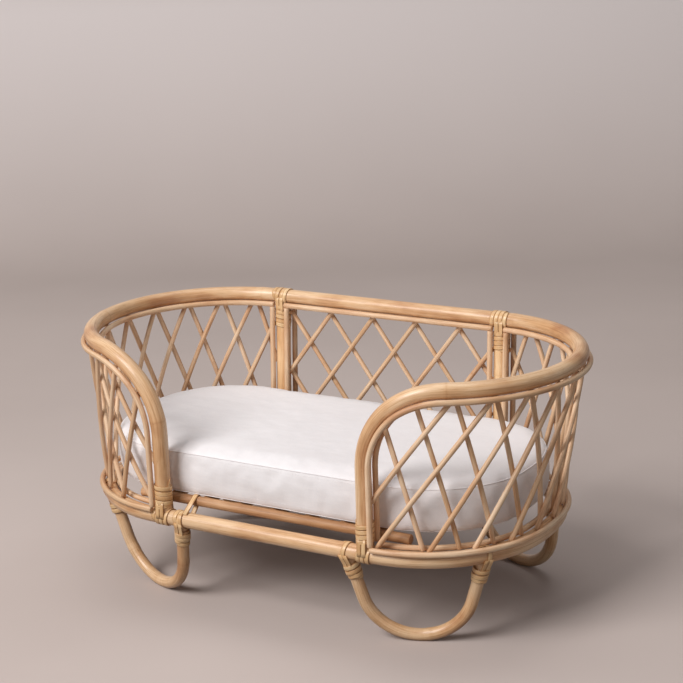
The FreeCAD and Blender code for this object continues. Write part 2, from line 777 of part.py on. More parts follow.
# ---------------------------------------------------------------- base ring
ring_body = doc.addObject("PartDesign::Body", "ring_pole")
ring_body.Placement = Placement(middle + UP * ring_z, Rotation())
ring_line = oval_sketch(ring_body, "ring_line", 0.0, "0", 0.0, "0")
ring_section = sketch_on(ring_body, "YZ_Plane", "ring_section")
ring_section.addGeometry(Part.Circle(Vector(-size("ring_half_depth"), 0, 0), UP, pole_radius), False)
constrain(ring_section, "Diameter", 0, 2 * pole_radius, driven_by="Sizes.pole_diameter")
constrain(ring_section, "DistanceX", 0, CENTRE, ORIGIN, START, size("ring_half_depth"),
          driven_by="Sizes.ring_half_depth")
constrain(ring_section, "PointOnObject", 0, CENTRE, X_AXIS)
ring_pipe = ring_body.newObject("PartDesign::AdditivePipe", "ring_bent")
ring_pipe.Profile = ring_section
ring_pipe.Spine = (ring_line, [])
ring_hole_places = leg_screw_places + upright_screw_places + post_foot_places
ring_holes = shaped("ring_holes", placed_copies(hole, ring_hole_places))
keep(cut("ring_drilled", ring_body, ring_holes), "base_ring")

# ---------------------------------------------------------------- back posts
rail_room = shaped("rail_room", bent_pole(rail_run, pole_radius + size("cope_gap")))
for name, side in (("back_post_right", 1), ("back_post_left", -1)):
    foot = Vector(side * post_foot.x, post_foot.y, post_foot.z)
    way = Vector(side * post_way.x, post_way.y, post_way.z)
    post = doc.addObject("Part::Cylinder", name + "_pole")
    post.setExpression("Radius", "Sizes.pole_diameter / 2")
    post.Height = (post_head - post_foot).Length
    post.Placement = Placement(foot, Rotation(UP, way))
    at_foot = cut(name + "_foot", post, ring_room)
    at_head = cut(name + "_head", at_foot, rail_room)
    index = 0 if side > 0 else 1
    drilling = placed_copies(hole, [post_foot_places[index], post_head_places[index]])
    keep(cut(name + "_drilled", at_head, shaped(name + "_holes", drilling)), name)

keep(shaped("leg_screws", placed_copies(screw, leg_screw_places)), "leg_screws")
keep(shaped("upright_screws", placed_copies(screw, upright_screw_places)), "upright_screws")
keep(shaped("post_screws", placed_copies(screw, post_foot_places + post_head_places)), "post_screws")

# ---------------------------------------------------------------- framing strips
strand_pitch = size("peel_width") + size("peel_spacing")
pole_strands_half = (size("pole_strands") * strand_pitch - size("peel_spacing")) / 2
beside_strands = pole_strands_half + size("strip_gap")
beside_post = math.sqrt((bound_radius + size("strip_gap")) ** 2 - (strip_offset - strip_radius) ** 2)
upright_along = size("upright_half_spacing")
side_low = ring_z + strip_top + size("strip_gap")
side_high = rail_z - strip_top - size("strip_gap")

SIDES = {"right": 1, "left": -1}
LAYERS = {"outer": 1, "inner": -1}


def on_side(shape, side):
    """The shape as made for the right, or its mirror image."""
    if side > 0:
        return shape
    return shape.mirror(Vector(0, 0, 0), Vector(1, 0, 0))


def post_strip(panel, distance, offset):
    """Upright strip beside a post, at this distance from where the panel starts."""
    lower, upper = [plan_length(plan) for plan in panel]
    high_share = distance / upper
    if distance > lower / 2:
        high_share = 1 - (lower - distance) / upper
    low = wall_point(panel, distance, side_low, offset)
    high = wall_point(panel, lower * high_share, side_high, offset)
    return straight_rod(low, high, strip_radius)


end_foot_plan = plan_between(ring_plan, upright_along + beside_strands, ring_post - beside_strands)
back_foot_plan = plan_between(
    ring_plan, ring_post + beside_strands, ring_length - ring_post - beside_strands)
back_head_plan = plan_between(rail_plan, rail_post + beside_post, rail_length - rail_post - beside_post)
end_foot_length = plan_length(end_panel[0])
back_foot_length = plan_length(back_panel[0])

for layer, out in LAYERS.items():
    offset = out * strip_offset
    top = bent_pole(arm_run(side_low, strip_inset, offset, rail_post - beside_post), strip_radius)
    bottom = bent_pole(lifted(plan_offset(end_foot_plan, offset), wall_foot), strip_radius)
    for hand, side in SIDES.items():
        name = "%s_top_strip_%s" % (hand, layer)
        keep(shaped(name, on_side(top, side)), name)
        name = "%s_bottom_strip_%s" % (hand, layer)
        keep(shaped(name, on_side(bottom, side)), name)
    name = "back_bottom_strip_" + layer
    keep(shaped(name, bent_pole(lifted(plan_offset(back_foot_plan, offset), wall_foot), strip_radius)), name)
    name = "back_top_strip_" + layer
    keep(shaped(name, bent_pole(lifted(plan_offset(back_head_plan, offset), wall_head), strip_radius)), name)

from_post = strip_inset + size("post_strip_room")
beside_end_post = [post_strip(end_panel, end_foot_length - from_post, out * strip_offset)
                   for out in LAYERS.values()]
for hand, side in SIDES.items():
    name = hand + "_post_strips"
    keep(shaped(name, Part.makeCompound([on_side(strip, side) for strip in beside_end_post])), name)
beside_back_posts = [post_strip(back_panel, distance, out * strip_offset)
                     for distance in (from_post, back_foot_length - from_post)
                     for out in LAYERS.values()]
keep(shaped("back_post_strips", Part.makeCompound(beside_back_posts)), "back_post_strips")

# ---------------------------------------------------------------- lattice rods
# A rod is given by where it crosses two marks on its wall: its foot just over the lower strip
# and its head just under the upper strip, both measured along the foot of the wall.
foot_mark = ring_z + strip_top
head_mark = rail_z - strip_top
end_room = bound_radius + size("strip_gap")
reach_of_cut = 3 * end_room
least_under_arm = 2 * end_room


def frame_height(panel, along):
    """Height of the axis of the pole over this place on the foot of a wall."""
    if panel is back_panel:
        return rail_z
    over = along * plan_length(panel[1]) / plan_length(panel[0])
    if over >= arm_bend:
        return rail_z
    return rail_z - arm_bend + math.sqrt(arm_bend ** 2 - (arm_bend - over) ** 2)


def frame_edges(panel, along, height):
    """The four edges of a wall as seen from a place on it.

    For each one the nearest point on the axis of its pole, and the way in from there."""
    length = plan_length(panel[0])
    step = length * TANGENT_STEP
    over = min(max(along, step), length - step)

    def edge(distance, at_height, low, high):
        point = wall_point(panel, distance, at_height, 0.0)
        facing = wall_point(panel, distance, at_height, pole_radius) - point
        way = wall_point(panel, *high, 0.0) - wall_point(panel, *low, 0.0)
        return point, facing.cross(way).normalize()

    before = over - step
    after = over + step
    return [
        edge(over, ring_z, (before, ring_z), (after, ring_z)),
        edge(over, frame_height(panel, over),
             (after, frame_height(panel, after)), (before, frame_height(panel, before))),
        edge(0.0, height, (0.0, wall_head), (0.0, wall_foot)),
        edge(length, height, (length, wall_foot), (length, wall_head)),
    ]


def edge_of(framed, inside, outside):
    """The share between these two at which a rod reaches the frame."""
    for halving in range(HALVING_COUNT):
        half = (inside + outside) / 2
        if framed(half):
            inside = half
        else:
            outside = half
    return inside


def beyond(point, way):
    """Block that begins at this point and lies this way from it."""
    block = Part.makeBox(arm_bend, arm_bend, arm_bend, Vector(-arm_bend / 2, -arm_bend / 2, 0))
    block.Placement = Placement(point, Rotation(UP, way))
    return block


def rod(panel, foot, head, offset):
    """One rod between the poles that frame its wall, or nothing where it would be too short.

    Each end is cut along the pole that it meets, clear of the peel on that pole."""
    length = plan_length(panel[0])

    def place(share):
        height = ring_z + (rail_z - ring_z) * share
        return foot + (head - foot) * (height - foot_mark) / (head_mark - foot_mark), height

    def framed(share):
        along, height = place(share)
        return 0 <= along <= length and ring_z <= height <= frame_height(panel, along)

    def centre(share):
        return wall_point(panel, *place(share), 0.0)

    shares = [i / ROD_STEP_COUNT for i in range(ROD_STEP_COUNT + 1) if framed(i / ROD_STEP_COUNT)]
    if len(shares) < 2:
        return None
    low = edge_of(framed, shares[0], shares[0] - 1 / ROD_STEP_COUNT)
    high = edge_of(framed, shares[-1], shares[-1] + 1 / ROD_STEP_COUNT)
    along, height = place((low + high) / 2)
    if (centre(high) - centre(low)).Length < size("shortest_rod"):
        return None
    if frame_height(panel, along) - height < least_under_arm:
        return None
    run = run_through(lambda share: wall_point(panel, *place(share), offset), low, high, ROD_SPAN_COUNT)
    solid = bent_pole(run, rod_radius)
    for share in (low, high):
        for point, inward in frame_edges(panel, *place(share)):
            if (centre(share) - point).Length < reach_of_cut:
                solid = solid.cut(beyond(point + inward * end_room, inward * -1))
    return solid


def rods(panel, lines, offset):
    """The rods of one layer of a wall."""
    laid = [rod(panel, foot, head, offset) for foot, head in lines]
    return [piece for piece in laid if piece]


def copies(length, pitch):
    """Numbers of the rods that could cross a wall, some of them before its first one."""
    most = math.ceil(length / pitch) + EXTRA_ROD_COUNT
    return range(-EXTRA_ROD_COUNT, most)


end_copies = copies(end_foot_length, size("end_rod_pitch"))
to_back = []
to_front = []
for i in end_copies:
    foot = size("end_rod_foot") + size("end_rod_pitch") * i
    ease = size("end_rod_back_ease") * (1 - size("end_rod_ease_share") ** max(i, 0))
    to_back.append((foot + ease, foot + size("end_rod_back_run")))
    head = size("end_rod_head") + size("end_rod_pitch") * i
    to_front.append((head + size("end_rod_front_run"), head))

# On the right the outer rods lean to the back, on the left the inner ones do, so that seen from
# outside the rods of the outer layer lean the same way all round.
for hand, side in SIDES.items():
    for layer, out in LAYERS.items():
        lines = to_back if side * out > 0 else to_front
        laid = [on_side(piece, side) for piece in rods(end_panel, lines, out * layer_offset)]
        name = "%s_rods_%s" % (hand, layer)
        keep(shaped(name, Part.makeCompound(laid)), name)

back_copies = copies(back_foot_length, size("back_rod_pitch"))
for layer, out in LAYERS.items():
    first = size("back_%s_head" % layer)
    heads = [first + size("back_rod_pitch") * i for i in back_copies]
    lines = [(head - out * size("back_rod_run"), head) for head in heads]
    name = "back_rods_" + layer
    keep(shaped(name, Part.makeCompound(rods(back_panel, lines, out * layer_offset))), name)

# ---------------------------------------------------------------- seat frame
# The two seat poles pass inside the strips that stand beside the uprights and posts. They lie on
# the inner bottom strips and touch them near their ends, where the strips have curved in.
strip_corner = size("ring_corner_radius") - strip_offset
seat_half_length = size("post_half_spacing") + size("seat_past_posts")
past_corner = seat_half_length - ring_corner[1].x
strip_depth = middle.y - ring_corner[1].y + math.sqrt(strip_corner ** 2 - past_corner ** 2)
front_strip = arm_point(strip_inset, -strip_offset, 0.0)
back_strip = wall_point(end_panel, end_foot_length - from_post, side_low, -strip_offset)
seat_half_depth = min(middle.y - front_strip.y, back_strip.y - middle.y)
seat_half_depth -= strip_radius + size("seat_side_gap") + seat_radius
beside_strip = seat_half_depth - strip_depth
rest = strip_radius + seat_radius + size("seat_gap")
seat_z = wall_foot + math.sqrt(rest ** 2 - beside_strip ** 2)

seat_poles = {}
for name, side in (("seat_pole_front", -1), ("seat_pole_back", 1)):
    pole = doc.addObject("Part::Cylinder", name)
    pole.setExpression("Radius", "Sizes.seat_pole_diameter / 2")
    pole.setExpression("Height", "2 * (Sizes.post_half_spacing + Sizes.seat_past_posts)")
    start = middle + Vector(-seat_half_length, side * seat_half_depth, seat_z)
    pole.Placement = Placement(start, Rotation(UP, Vector(1, 0, 0)))
    seat_poles[name] = keep(pole, name)

bars = []
bar_count = int(size("seat_bars"))
seat_room = []
for side in (-1, 1):
    start = middle + Vector(-seat_half_length, side * seat_half_depth, seat_z)
    end = start + Vector(2 * seat_half_length, 0, 0)
    seat_room.append(straight_rod(start, end, seat_radius + size("cope_gap")))
for i in range(bar_count):
    x = (i - (bar_count - 1) / 2) * size("seat_bar_pitch")
    start = middle + Vector(x, -seat_half_depth, seat_z)
    end = middle + Vector(x, seat_half_depth, seat_z)
    bars.append(straight_rod(start, end, seat_radius).cut(seat_room))
keep(shaped("seat_cross_bars", Part.makeCompound(bars)), "seat_cross_bars")

# ---------------------------------------------------------------- peel bindings
thickness = size("peel_thickness")


def sleeve(joint, way, radius, first, turns):
    """Turns of peel round a pole that leaves a joint this way, from this distance on."""
    inner = radius + size("binding_gap")
    outer = inner + thickness
    groove = outer - size("groove_depth")
    outline = [Vector(inner, 0, first)]
    for turn in range(int(turns)):
        low = first + turn * strand_pitch
        high = low + size("peel_width")
        outline += [Vector(outer, 0, low), Vector(outer, 0, high)]
        if turn < int(turns) - 1:
            outline += [Vector(groove, 0, high), Vector(groove, 0, low + strand_pitch)]
    outline += [Vector(inner, 0, high), outline[0]]
    solid = Part.Face(Part.makePolygon(outline)).revolve(Vector(0, 0, 0), UP, FULL_TURN)
    return solid.transformed(Placement(joint, Rotation(UP, way)).toMatrix())


def binding(plan, distance, height, joint, way, radius, turns, strands):
    """Strands over the thick pole of a plan, and turns round the pole that joins it there."""
    bands = []
    inner = pole_radius + size("binding_gap")
    passing = straight_rod(joint, joint + way * 2 * bound_radius, radius + size("binding_gap"))
    for i in range(int(strands)):
        from_joint = (i - (strands - 1) / 2) * strand_pitch
        point, along, normal = plan_point(plan, distance + from_joint)
        start = point + UP * height - along * (size("peel_width") / 2)
        end = start + along * size("peel_width")
        band = straight_rod(start, end, inner + thickness).cut(straight_rod(start, end, inner))
        bands += band.cut(passing).Solids
    lean = abs(way.dot(plan_point(plan, distance)[1]))
    clear = bound_radius + size("peel_spacing")
    reach = radius + size("binding_gap") + thickness
    first = (clear + reach * lean) / math.sqrt(1 - lean ** 2)
    return Part.makeCompound([sleeve(joint, way, radius, first, turns)] + bands)


corner_turn = math.pi / 2 - math.radians(size("leg_side_angle"))
front_distances = (
    size("leg_front_half_spacing"),
    piece_length(ring_quarter[0]) + corner_turn * size("ring_corner_radius"),
)
rear_distances = [ring_length / 2 - distance for distance in front_distances]
for row, distances in (("front", front_distances), ("rear", rear_distances)):
    bound = Part.makeCompound([
        binding(ring_plan, distance, ring_z, joint, limb, leg_radius, size("leg_wraps"), size("leg_strands"))
        for distance, (joint, limb) in zip(distances, leg_joints["leg_%s_right" % row])
    ])
    for hand, side in SIDES.items():
        name = "leg_%s_%s_binding" % (row, hand)
        keep(shaped(name, on_side(bound, side)), name)

pole_bindings = {
    "upright_binding": binding(
        ring_plan, upright_along, ring_z, upright_joints[0], UP, pole_radius,
        size("foot_wraps"), size("pole_strands")),
    "post_foot_binding": binding(
        ring_plan, ring_post, ring_z, post_foot, post_way, pole_radius,
        size("foot_wraps"), size("pole_strands")),
    "post_head_binding": binding(
        rail_plan, rail_post, rail_z, post_head, post_way * -1, pole_radius,
        size("post_wraps"), size("pole_strands")),
}
for base, bound in pole_bindings.items():
    for hand, side in SIDES.items():
        name = "%s_%s" % (base, hand)
        keep(shaped(name, on_side(bound, side)), name)


def tie_loop(radius_gap):
    """Closed outline round the front of the ring and the front seat pole, in the YZ plane."""
    ring_centre = Vector(0, middle.y - size("ring_half_depth"), ring_z)
    seat_centre = Vector(0, middle.y - seat_half_depth, seat_z)
    apart = seat_centre - ring_centre
    heading = math.atan2(apart.z, apart.y)
    ring_reach = pole_radius + radius_gap
    seat_reach = seat_radius + radius_gap
    spread = math.acos((ring_reach - seat_reach) / apart.Length)

    def at(centre, reach, angle):
        return centre + Vector(0, math.cos(angle), math.sin(angle)) * reach

    upper = heading - spread
    lower = heading + spread
    ring_points = [at(ring_centre, ring_reach, angle) for angle in (lower, heading + math.pi, upper)]
    seat_points = [at(seat_centre, seat_reach, angle) for angle in (upper, heading, lower)]
    return Part.Wire([
        Part.Arc(*ring_points).toShape(),
        Part.LineSegment(ring_points[2], seat_points[0]).toShape(),
        Part.Arc(*seat_points).toShape(),
        Part.LineSegment(seat_points[2], ring_points[0]).toShape(),
    ])


tie_inner = Part.Face(tie_loop(size("binding_gap")))
tie_outer = Part.Face(tie_loop(size("binding_gap") + thickness))
tie = tie_outer.cut(tie_inner).extrude(Vector(size("peel_width"), 0, 0))
tie_piece = shaped("seat_tie", tie)
leg_strands_half = (size("leg_strands") * strand_pitch - size("peel_spacing")) / 2
beside_leg = leg_strands_half + size("peel_spacing") + size("peel_width")
tie_piece.Placement = Placement(
    Vector(beside_leg - size("leg_front_half_spacing") - size("peel_width"), 0, 0), Rotation())
keep(tie_piece, "seat_tie")

# ---------------------------------------------------------------- cushion
cushion_z = seat_z + seat_radius + size("binding_gap") + thickness + size("cushion_rest_gap")
cushion_inset = strip_offset + strip_radius + size("cushion_gap")
INSET = ("Sizes.rod_diameter + Sizes.layer_gap / 2 + Sizes.rod_play + Sizes.strip_diameter"
         " + Sizes.cushion_gap")


def cushion_body(name, trim, trim_rule):
    """The cushion with its edges rounded, smaller all round by the trim."""
    body = doc.addObject("PartDesign::Body", name)
    body.Placement = Placement(middle + UP * (cushion_z + trim), Rotation())
    outline = oval_sketch(body, name + "_outline", cushion_inset + trim, INSET + trim_rule,
                          size("cushion_end_reach"), "Sizes.cushion_end_reach")
    pad = body.newObject("PartDesign::Pad", name + "_pad")
    pad.Profile = outline
    pad.setExpression("Length", "Sizes.cushion_height - 2 * (0%s)" % trim_rule)
    doc.recompute()
    top = pad.Shape.BoundBox.ZMax
    base = pad
    for step, height, rule in (("top", top, "Sizes.cushion_top_round"),
                               ("foot", 0.0, "Sizes.cushion_foot_round")):
        edges = [index for index, edge in enumerate(base.Shape.Edges, start=1)
                 if abs(edge.BoundBox.ZMin - height) < SEAM and abs(edge.BoundBox.ZMax - height) < SEAM]
        fillet = body.newObject("PartDesign::Fillet", "%s_%s_round" % (name, step))
        fillet.Base = (base, ["Edge%d" % index for index in edges])
        fillet.setExpression("Radius", "%s - (0%s)" % (rule, trim_rule))
        doc.recompute()
        base = fillet
    return body


cushion_outside = cushion_body("cushion_outside", 0.0, "")
cushion_inside = cushion_body("cushion_inside", size("cover_thickness"), " + Sizes.cover_thickness")
keep(cut("cushion_shell", cushion_outside, cushion_inside), "cushion_cover")
filling = cushion_body("cushion_filling", size("cover_thickness") + size("cover_gap"),
                       " + Sizes.cover_thickness + Sizes.cover_gap")
keep(filling, "cushion_filling")

# ---------------------------------------------------------------- checks and files
doc.recompute()
for item in doc.Objects:
    if "Invalid" in item.State or "Error" in item.State:
        raise RuntimeError("%s did not build: %s" % (item.Name, item.State))
for piece in made:
    if piece.Shape.isNull() or not piece.Shape.isValid() or not piece.Shape.Solids:
        raise RuntimeError("%s has no valid solid" % piece.Label)

os.makedirs("parts", exist_ok=True)
whole = FreeCAD.BoundBox()
for piece in made:
    piece.Shape.exportStep("parts/%s.step" % piece.Label)
    whole.add(piece.Shape.BoundBox)
    print("%-28s %3d solids %10.0f mm3" % (piece.Label, len(piece.Shape.Solids), piece.Shape.Volume))
print("%d files, %s" % (len(made), whole))
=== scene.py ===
# %% [markdown]
# # A rattan pet bed with a loose cushion
# The bed is an open basket: thick bent rattan poles carry a lattice of thin rods, flat peel
# binds every joint, and a cushion lies inside. This lesson dresses the finished construction
# model, which fixes every size, with poles that have grain, peel that is really wound, and a
# cushion that is really filled. All lengths are in metres, with Z up and the floor at zero.

# %% Load the construction model
import math
import random

import bpy
import numpy as np
from mathutils import Matrix, Vector, noise
from mathutils.bvhtree import BVHTree
from mathutils.kdtree import KDTree


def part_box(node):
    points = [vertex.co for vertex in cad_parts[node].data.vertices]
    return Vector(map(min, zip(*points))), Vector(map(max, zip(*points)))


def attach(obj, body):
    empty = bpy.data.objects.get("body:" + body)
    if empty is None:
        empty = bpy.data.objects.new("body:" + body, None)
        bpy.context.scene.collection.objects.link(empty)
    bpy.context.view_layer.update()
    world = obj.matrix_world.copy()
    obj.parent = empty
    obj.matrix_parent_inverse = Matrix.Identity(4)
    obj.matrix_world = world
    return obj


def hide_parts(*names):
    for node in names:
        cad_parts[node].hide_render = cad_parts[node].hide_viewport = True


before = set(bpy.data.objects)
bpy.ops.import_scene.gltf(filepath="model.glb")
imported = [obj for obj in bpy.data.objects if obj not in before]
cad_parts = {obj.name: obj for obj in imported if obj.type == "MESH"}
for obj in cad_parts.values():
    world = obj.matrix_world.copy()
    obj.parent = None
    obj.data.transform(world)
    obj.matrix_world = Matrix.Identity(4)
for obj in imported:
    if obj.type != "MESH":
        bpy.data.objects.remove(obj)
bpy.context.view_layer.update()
random.seed(7)

# %% [markdown]
# ## Where the viewer stands
# The camera comes first, because every later look is seen through it. It stands in front of
# the right end, a little above the arms, with a long lens, so that the oval stays calm. The
# matrix is built from three directions instead of an aimed target, because the camera is also
# rolled a little.

# %% Camera
def placed(name, data):
    """A new object in the scene that shows this data."""
    thing = bpy.data.objects.new(name, data)
    bpy.context.scene.collection.objects.link(thing)
    return thing


camera_data = bpy.data.cameras.new("studio_camera")
camera_data.lens = 91.49
camera_data.sensor_width = 36.0
camera = placed("studio_camera", camera_data)
to_right = Vector((0.86473, 0.50104, -0.03493))
to_top = Vector((-0.10482, 0.24803, 0.96307))
to_back = Vector((0.49120, -0.82913, 0.26699))
camera.matrix_world = Matrix.Translation((0.99919, -1.65059, 0.82524)) @ Matrix(
    (to_right, to_top, to_back)).transposed().to_4x4()
bpy.context.scene.camera = camera
print("camera distance to the middle of the bed: %.2f m" % camera.location.length)

# %% [markdown]
# ## Small helpers for materials
# Every finish below is a small node tree around one shader. A class keeps the trees readable:
# it adds a node, ramps and mixes colours, and sets or feeds sockets. A second helper turns a
# screen colour into the linear colour that Blender mixes with.

# %% Screen colours
def linear(red, green, blue):
    """A screen colour from 0 to 255 as the linear colour that Blender works with."""
    parts = []
    for value in (red, green, blue):
        value /= 255.0
        parts.append(value / 12.92 if value <= 0.04045 else ((value + 0.055) / 1.055) ** 2.4)
    return (*parts, 1.0)


# %% A finish and its nodes
class Finish:
    """A material under construction: its tree, and the node of its surface."""

    def __init__(self, name):
        self.material = bpy.data.materials.new(name)
        self.material.use_nodes = True
        self.tree = self.material.node_tree
        self.surface = self.tree.nodes["Principled BSDF"]

    def feed(self, node, values):
        """Sets sockets of a node, with a link where the value is another node's output."""
        for socket, value in values.items():
            if isinstance(value, bpy.types.NodeSocket):
                self.tree.links.new(value, node.inputs[socket])
            else:
                node.inputs[socket].default_value = value

    def dress(self, values):
        self.feed(self.surface, values)

    def add(self, kind, values=None, **settings):
        node = self.tree.nodes.new(kind)
        for key, value in settings.items():
            setattr(node, key, value)
        self.feed(node, values or {})
        return node

    def ramp(self, factor, stops):
        """A colour ramp fed by a factor, with stops of (position, colour)."""
        node = self.add("ShaderNodeValToRGB", {"Fac": factor})
        while len(node.color_ramp.elements) < len(stops):
            node.color_ramp.elements.new(0.5)
        for element, (position, colour) in zip(node.color_ramp.elements, stops):
            element.position = position
            element.color = colour
        return node.outputs["Color"]

    def mix(self, kind, factor, first, second):
        node = self.add("ShaderNodeMix", {0: factor, 6: first, 7: second},
                        data_type="RGBA", blend_type=kind)
        return node.outputs[2]

    def tint(self, colour, strength, factor, *stops):
        """The colour, multiplied by a ramp that a factor drives."""
        return self.mix("MULTIPLY", strength, colour, self.ramp(factor, stops))

    def two_tones(self, factor, dark, pale):
        """A ramp between two screen colours, for a factor from a noise."""
        return self.ramp(factor, [(0.3, linear(*dark)), (0.7, linear(*pale))])

    def place(self):
        """The place on the object, as a texture coordinate."""
        return self.add("ShaderNodeTexCoord").outputs["Object"]

    def noise(self, vector, scale, detail=2.0, rough=0.5):
        values = {"Vector": vector, "Scale": scale, "Detail": detail, "Roughness": rough}
        return self.add("ShaderNodeTexNoise", values).outputs["Fac"]


print("helpers ready")

# %% [markdown]
# ## Rattan
# A rattan pole is a vine: long fibres run along it, its colour drifts from honey to tan over
# a hand's width, and every so often a growth node leaves a faint dark ring. The fibres must
# follow each bend, so an ordinary position in the room is no use as a texture coordinate.
# Each pole below carries an attribute named grain instead, with the distance along the pole
# and the two distances across it. Noise that is stretched along the first of the three gives
# fibres that bend with the pole and need no seam.

# %% Rattan finishes
WHITE = (1, 1, 1, 1)


def rattan(name, shades, roughness, fibre_scale, fibre_depth, coat, half_width=0.0):
    """A cane finish from its pale, honey and brown shades. Only peel has a half width."""
    finish = Finish(name)
    pale, honey, brown = (linear(*shade) for shade in shades)
    grain = finish.add("ShaderNodeAttribute", attribute_name="grain").outputs["Vector"]
    knot = finish.add("ShaderNodeAttribute", attribute_name="knot").outputs["Fac"]

    def stretched(along, across):
        return finish.add("ShaderNodeVectorMath", {0: grain, 1: (along, across, across)},
                          operation="MULTIPLY").outputs["Vector"]

    length_tone = finish.noise(stretched(2.2, 0.0), 1.0, 1.0)
    drift = finish.noise(stretched(13.0, 34.0), 1.0, 3.0, 0.55)
    streaks = finish.noise(stretched(9.0, fibre_scale / 3.2), 1.0, 3.0, 0.6)
    fibres = finish.noise(stretched(24.0, fibre_scale), 1.0, 3.0, 0.7)
    flecks = finish.noise(stretched(240.0, 800.0), 1.0, 1.0)
    colour = finish.ramp(drift, [(0.30, brown), (0.46, honey), (0.60, pale)])
    colour = finish.tint(colour, 1.0, length_tone, (0.36, (0.84, 0.77, 0.68, 1)), (0.56, WHITE))
    colour = finish.tint(colour, 0.62 * fibre_depth, streaks,
                         (0.34, (0.74, 0.62, 0.48, 1)), (0.54, WHITE))
    colour = finish.tint(colour, 0.75 * fibre_depth, fibres,
                         (0.34, (0.66, 0.54, 0.42, 1)), (0.50, WHITE))
    colour = finish.tint(colour, 0.5, flecks, (0.70, WHITE), (0.80, (0.62, 0.46, 0.32, 1)))
    colour = finish.tint(colour, 0.45, knot, (0.0, WHITE), (0.6, (0.94, 0.88, 0.80, 1)),
                         (1.0, (0.70, 0.55, 0.42, 1)))
    # Painted shade: the peel darkens towards both edges of the strip, for the grooves between
    # neighbouring turns.
    if half_width:
        side = finish.add("ShaderNodeSeparateXYZ", {0: grain}).outputs["Y"]
        share = finish.add("ShaderNodeMath", {0: side, 1: half_width}, operation="DIVIDE")
        edge_and_groove_shade = finish.add("ShaderNodeMath", {0: share.outputs[0]}, operation="ABSOLUTE")
        colour = finish.tint(colour, 0.85, edge_and_groove_shade.outputs[0],
                             (0.72, WHITE), (0.94, (0.60, 0.44, 0.30, 1)))
    gloss = finish.add("ShaderNodeMapRange", {"Value": streaks, "To Min": roughness - 0.08,
                                              "To Max": roughness + 0.12})
    bump = finish.add("ShaderNodeBump", {"Height": fibres, "Strength": 0.5, "Distance": 0.0004})
    finish.dress({"Base Color": colour, "Roughness": gloss.outputs["Result"],
                  "Normal": bump.outputs["Normal"], "Coat Weight": coat, "Coat Roughness": 0.25,
                  "Specular IOR Level": 0.45})
    print("finish:", name)
    return finish.material


pole_finish = rattan("rattan_pole", ((236, 201, 162), (225, 182, 138), (196, 144, 100)),
                     0.36, 800.0, 1.0, 0.32)
# Paler, more golden copy for the posts: partly their own tone, and partly painted light that
# brightens them.
post_tone_and_painted_light_finish = rattan("rattan_post_tone_and_painted_light", ((244, 209, 164), (235, 193, 144), (212, 162, 112)),
                     0.36, 800.0, 0.8, 0.32)
# Painted shade: a darker, browner copy for the seat poles and bars under the cushion.
seat_painted_shade_finish = rattan("rattan_seat_painted_shade", ((208, 166, 127), (190, 145, 106), (158, 112, 76)),
                       0.50, 800.0, 1.0, 0.05)
rod_finish = rattan("rattan_core", ((241, 212, 181), (233, 195, 159), (208, 159, 120)),
                    0.46, 1800.0, 1.0, 0.10)
peel_finish = rattan("rattan_peel", ((241, 209, 164), (231, 190, 140), (205, 156, 106)),
                     0.34, 2200.0, 1.0, 0.28, 0.0027)

# %% [markdown]
# ## The lines that the poles follow
# Seen from above, the bed is two ovals made of arcs: the base ring, and the top rail, which
# reaches out a little further. A wall of the basket is the ruled surface between them. The
# lines are worked out here from the same radii as the construction model and kept as closely
# spaced points, which is all that a swept pole needs.

# %% Sizes of the bed
POLE, LEG, SEAT, STRIP, ROD = 0.009, 0.007, 0.00575, 0.0033, 0.0028
RING_Y, RING_Z, RAIL_Z = -0.005, 0.1085, 0.296
RING_LENGTH, RING_DEPTH, RING_BOW, RING_CORNER = 0.277, 0.147, 0.250, 0.134
RAIL_LENGTH, RAIL_BACK, RAIL_CORNER, ARM_BEND = 0.302, 0.152, 0.147, 0.090
ARM_ANGLE = math.radians(6.0)
UPRIGHT_X, POST_X, LEG_X = 0.132, 0.1525, 0.108
LEG_TURN, LEG_LEAN = math.radians(37.5), math.radians(15.0)
FRONT_TUCK, REAR_KICK = 0.015, 0.015
PEEL_WIDTH, PEEL_THICK, PEEL_PITCH = 0.0054, 0.0011, 0.0056
GAP, ROD_PLAY, PEEL_GAP = 0.00015, 0.0009, 0.0003
LAYER = ROD + GAP
STRIP_OUT = 2 * ROD + GAP + ROD_PLAY + STRIP
BOUND = POLE + PEEL_GAP + PEEL_THICK
STRIP_IN = math.sqrt((BOUND + GAP + STRIP) ** 2 - STRIP_OUT ** 2)
WALL_FOOT, WALL_HEAD = RING_Z + STRIP_IN, RAIL_Z - STRIP_IN
ring_low, ring_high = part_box("base_ring")
print("ring in the model: %.4f m long, drawn here %.4f m" % (
    ring_high.x - ring_low.x, 2 * (RING_LENGTH + POLE)))


# %% Lines and arcs
def line_points(start, end, step=0.002):
    count = max(2, math.ceil(math.dist(start, end) / step))
    return [(start[0] + (end[0] - start[0]) * i / count,
             start[1] + (end[1] - start[1]) * i / count) for i in range(count + 1)]


def arc_points(centre, radius, first, last, step=0.002):
    count = max(2, math.ceil(radius * abs(last - first) / step))
    turns = [first + (last - first) * i / count for i in range(count + 1)]
    return [(centre[0] + radius * math.cos(t), centre[1] + radius * math.sin(t)) for t in turns]


# %% A line that is read by distance
def reach_along(points):
    """The distance of each point from the first, measured along the line."""
    steps = np.linalg.norm(np.diff(points, axis=0), axis=1)
    return np.concatenate([[0.0], np.cumsum(steps)])


